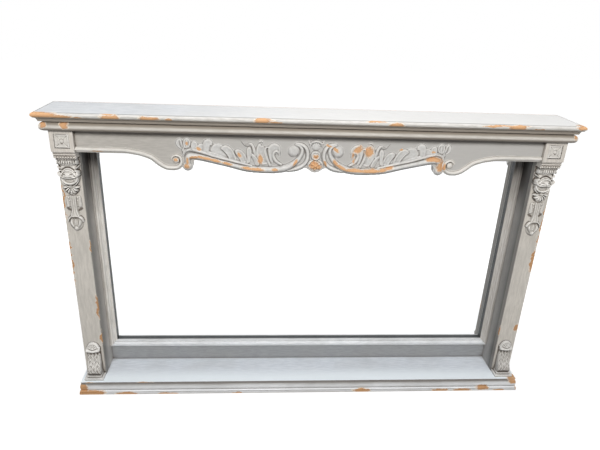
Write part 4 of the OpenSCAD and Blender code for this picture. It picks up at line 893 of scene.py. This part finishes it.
BOARD_WEAR = {
    "crown_board": [
        (-790, -85, 979, 70, 16, 10), (-724, -88, 976, 40, 8, 6), (-668, -87, 972, 16, 6, 4),
        (-586, -87, 977, 26, 8, 7), (-586, -84, 986, 26, 6, 2), (-478, -87, 976, 28, 8, 8),
        (-421, -87, 973, 12, 8, 6), (-160, -86, 979, 26, 8, 9), (-118, -87, 974, 20, 8, 4),
        (165, -84, 985, 28, 6, 3), (228, -86, 975, 22, 8, 9), (514, -86, 980, 28, 8, 3),
        (560, -87, 983, 60, 6, 2), (590, -86, 976, 27, 8, 10), (655, -87, 973, 20, 8, 4),
        (793, -80, 982, 26, 30, 6)],
    "crown_moulding": [
        (-775, -66, 949, 13, 14, 9), (-716, -66, 948, 15, 12, 9), (780, -66, 948, 9, 12, 9)],
    "pilasters": [
        (-703, -19, 322, 5, 7, 46), (-703, -19, 545, 4, 5, 22), (-703, -19, 206, 5, 7, 30),
        (-768, -19, 500, 4, 4, 90), (-767, -19, 700, 3, 5, 60), (766, -19, 508, 8, 8, 42),
        (704, -19, 224, 4, 6, 20), (763, -19, 238, 7, 4, 16), (768, -19, 640, 4, 5, 70)],
    "mirror_stiles": [
        (-671, 51, 118, 7, 4, 8), (668, 51, 690, 4, 3, 34), (664, 51, 770, 4, 3, 22),
        (676, 50, 330, 3, 3, 14)],
    "shelf": [
        (-560, -71, 46, 34, 8, 4), (-650, -71, 48, 26, 4, 2), (-745, -71, 47, 40, 5, 3),
        (-470, -71, 48, 22, 4, 2), (770, -64, 45, 22, 26, 8), (640, -71, 47, 18, 5, 3)],
    "base_moulding": [
        (-779, -66, 20, 23, 28, 38), (-744, -72, 6, 50, 12, 12), (-624, -72, 2, 34, 12, 8),
        (-480, -72, 1, 36, 12, 6), (-242, -72, 0, 18, 12, 5), (207, -72, 6, 28, 12, 9),
        (500, -72, 3, 30, 12, 6), (580, -72, 3, 34, 12, 6), (655, -72, 13, 26, 12, 11),
        (720, -72, 2, 26, 12, 5), (790, -60, 20, 9, 26, 24), (770, -66, 36, 16, 14, 8)]}


# Everything in its place

ALL_WAYS, LENGTHWISE, UPRIGHT = (5, 5, 5), (1.2, 9, 9), (9, 9, 1.2)
LOW, HIGH = 0, 1        # the two sides of a node along an axis


def dress(material, *names):
    for name in names:
        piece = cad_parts[name]
        piece.data.materials.clear()
        piece.data.materials.append(material)


def both(name):
    return [name + "_left", name + "_right"]


def fade(axis, node_name, side, start, end, tone, amount):
    """A slow change of tone, mostly painted shade, from start to end in mm from the low or high
    side of a node.
    """
    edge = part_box(node_name)[side][axis % 3]
    return axis, edge + start * MM, edge + end * MM, tone, amount


def carve(name, stands_for, field, origin, material, patches=(), mirror=False):
    made = relief_piece(name, field, origin, patches, mirror)
    made.data.materials.append(material)
    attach(made, "root")
    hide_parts(stands_for)


def face_of(node_name):
    """Where a carved node lies against the face that carries it, in mm."""
    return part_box(node_name)[1].y / MM


def place_carving():
    beads = worn_paint("bead_paint", "#D2CEC7", "#E2DFDA", (1.5, 8, 8), carved=True, glaze_and_shade=0.8,
                       edge=0.6)
    scrolls = worn_paint("scroll_paint", "#C4C3C1", "#D4D4D3", ALL_WAYS, carved=True, glaze_and_shade=0.56,
                         edge=0.55)
    drops = worn_paint("carved_paint", "#C5C1BA", "#D3CFC9", ALL_WAYS, carved=True, glaze_and_shade=0.72,
                       edge=0.8)
    corbels = worn_paint("corbel_paint", "#C9C5BF", "#D7D4CF", ALL_WAYS, carved=True, glaze_and_shade=0.72,
                         edge=0.8, fades=[(0, 0.3, 0.7, "#7E7C79", 0.25)])
    bead, scroll, drop = apron_bead_field(), apron_carving_field(), drop_field()
    corbel, rosette = corbel_field(), rosette_field()
    head_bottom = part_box("necking_right")[1].z / MM
    for side in ("left", "right"):
        mirror = side == "left"
        apron = (0, face_of("apron_carving_" + side), head_bottom)
        carve("serpentine_bead_" + side, "apron_bead_" + side, bead, apron, beads,
              CARVING_WEAR["bead_" + side], mirror)
        carve("carved_scroll_" + side, "apron_carving_" + side, scroll, apron, scrolls,
              CARVING_WEAR["scroll_" + side], mirror)
        low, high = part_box("pilaster_drop_" + side)
        middle = abs(low.x + high.x) / 2 / MM
        carve("carved_drop_" + side, "pilaster_drop_" + side, drop,
              (middle, high.y / MM, head_bottom), drops, CARVING_WEAR["drop"], mirror)
        low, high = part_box("foot_corbel_" + side)
        carve("carved_corbel_" + side, "foot_corbel_" + side, corbel,
              (middle, high.y / MM, low.z / MM), corbels, mirror=mirror)
        low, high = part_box("rosette_" + side)
        carve("carved_rosette_" + side, "rosette_" + side, rosette,
              (middle, high.y / MM, (low.z + high.z) / 2 / MM), drops, mirror=mirror)
    carve("carved_cartouche", "apron_cartouche", cartouche_field(),
          (0, face_of("apron_cartouche"), head_bottom), scrolls, CARVING_WEAR["cartouche"])


def dress_joinery():
    front_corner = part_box("crown_board")[HIGH]
    crown = worn_paint("crown_board_paint", "#C3C6C9", "#DCDDDE", LENGTHWISE,
                       BOARD_WEAR["crown_board"], glaze_and_shade=0.5, edge=0.3,
                       nosing=(front_corner.x, front_corner.y),
                       fades=[(0, -0.6, 0.1, "#EFEBE4", 0.6)])
    dress(crown, "crown_board")
    # painted shade: the crown moulding is darkened above and below a narrow band on the torus,
    # which stays light
    hollows = [fade(2, "crown_moulding_front", LOW, 14, 20.5, "#8E857A", 0.92),
               fade(2, "crown_moulding_front", LOW, 11.5, 5.5, "#7D7368", 0.9)]
    moulding = worn_paint("crown_moulding_paint", "#CBC6BE", "#DAD6CF", LENGTHWISE,
                          BOARD_WEAR["crown_moulding"], glaze_and_shade=0.9, edge=0.4, shade_openness=0.8,
                          fades=hollows)
    dress(moulding, "crown_moulding_front", *both("crown_return"))
    # painted shadow of the crown moulding along the top of the frieze
    crown_shadow = fade(2, "crown_moulding_front", LOW, -25, -3, "#5A5046", 0.8)
    frieze = worn_paint("frieze_paint", "#AFABA5", "#BEBAB4", LENGTHWISE, glaze_and_shade=0.8, edge=0.6,
                        fades=[(0, -0.55, -0.1, "#BAB9B7", 0.75), crown_shadow])
    dress(frieze, "frieze_board")
    heads = worn_paint("head_block_paint", "#CCC6BE", "#DCD6CE", UPRIGHT, glaze_and_shade=0.85, edge=0.6)
    dress(heads, *both("head_block"), *both("necking"))
    plinths = worn_paint("plinth_paint", "#D4D2CE", "#E6E4E1", LENGTHWISE, glaze_and_shade=0.85, edge=1.0)
    dress(plinths, *both("plinth"))
    # painted shade on the inner side of each pilaster front, as on the reveal, and down in the deep
    # recess
    inner_edge_shade = fade(3, "pilaster_front_right", LOW, 2.4, 1.4, "#5A5753", 0.7)
    shafts = worn_paint("pilaster_paint", "#C6C1B9", "#D7D2CA", UPRIGHT, BOARD_WEAR["pilasters"],
                        glaze_and_shade=0.7, edge=0.6, deep=0.85, timber=("#AF7C50", "#CDA57C"),
                        fades=[inner_edge_shade])
    dress(shafts, *both("pilaster_front"), *both("pilaster_side"))

    # painted shade: the reveals are darker to the front and dark at the top, the right one more
    # than the left, in its tint as well
    for side, tint, light, shade, amount in (("left", "#CBC7C2", "#DAD6D1", "#54514D", 0.8),
                                             ("right", "#ABA9A7", "#BDBBB9", "#34332F", 0.86)):
        reveal_name = "pilaster_reveal_" + side
        reveal = worn_paint("reveal_paint_" + side, tint, light, UPRIGHT, glaze_and_shade=0.2, edge=0.3,
                            fades=[fade(1, reveal_name, LOW, 46, -11, shade, amount),
                                   fade(2, "mirror_frame_top", LOW, -204, -34, "#211C18", 0.94)])
        dress(reveal, reveal_name)

    # painted shade: the inner wall of the mirror frame beside the glass is painted dark
    rails = worn_paint("mirror_frame_paint", "#E0E3E6", "#F6F8FA", LENGTHWISE, glaze_and_shade=0.8, edge=0.7,
                       fades=[fade(1, "mirror_glass", LOW, -12.5, -7, "#34393B", 0.9)])
    dress(rails, "mirror_frame_top", "mirror_frame_bottom")
    # painted shade on the stiles: darker to the top under the frieze and on the right, and dark on
    # the inner wall by the glass
    stiles = worn_paint("mirror_stile_paint", "#D4CFC8", "#F2F0EC", (16, 16, 1.0),
                        BOARD_WEAR["mirror_stiles"], glaze_and_shade=0.4, edge=0.8,
                        fades=[fade(2, "mirror_stile_left", HIGH, -260, -20, "#3A322B", 0.88),
                               (0, 0.3, 0.6, "#8A8782", 0.35),
                               fade(1, "mirror_glass", LOW, -12.4, -10, "#2B3032", 0.97)])
    dress(stiles, *both("mirror_stile"))
    # the back panels are painted a darker grey, painted shade for their place behind the frame
    panels = worn_paint("back_panel_paint", "#95979A", "#A5A7A9", LENGTHWISE, glaze_and_shade=0.7, edge=0.5)
    dress(panels, "lower_back_panel", "upper_back_panel")
    # painted light on the shelf top, paler and bluer to the front, and painted shade on its edge
    # under the lip
    shelf = worn_paint("shelf_paint", "#D8DEE5", "#E9EEF4", LENGTHWISE, BOARD_WEAR["shelf"],
                       glaze_and_shade=0.5, edge=0.8, rough=0.34, timber=("#BB885A", "#E3C39F"),
                       fades=[fade(1, "shelf_board", LOW, 85, 10, "#F4FBFF", 1.0),
                              fade(2, "shelf_board", HIGH, -0.3, -1.2, "#64594E", 0.85)])
    dress(shelf, "shelf_board")
    # painted shade under the shelf lip on the top of the base moulding; the foot is darker too
    base = worn_paint("base_moulding_paint", "#EAECEE", "#F8F9FB", LENGTHWISE,
                      BOARD_WEAR["base_moulding"], glaze_and_shade=0.5, edge=0.8,
                      timber=("#BB885A", "#D3AC84"),
                      fades=[fade(2, "shelf_board", LOW, -2, 14, "#665C52", 0.75),
                             fade(2, "base_moulding_front", LOW, 6, -1, "#A39688", 0.5)])
    dress(base, "base_moulding_front", *both("base_return"))
    dress(silvered_glass(), "mirror_glass")
    dress(unpainted_pine(), "backing_board", "backing_battens", "base_back_rail",
          "crown_glue_blocks", "base_glue_blocks", "pilaster_glue_blocks")
    dress(plain_steel(), "panel_screws", "shelf_screws")


set_camera()
set_studio()
place_carving()
dress_joinery()
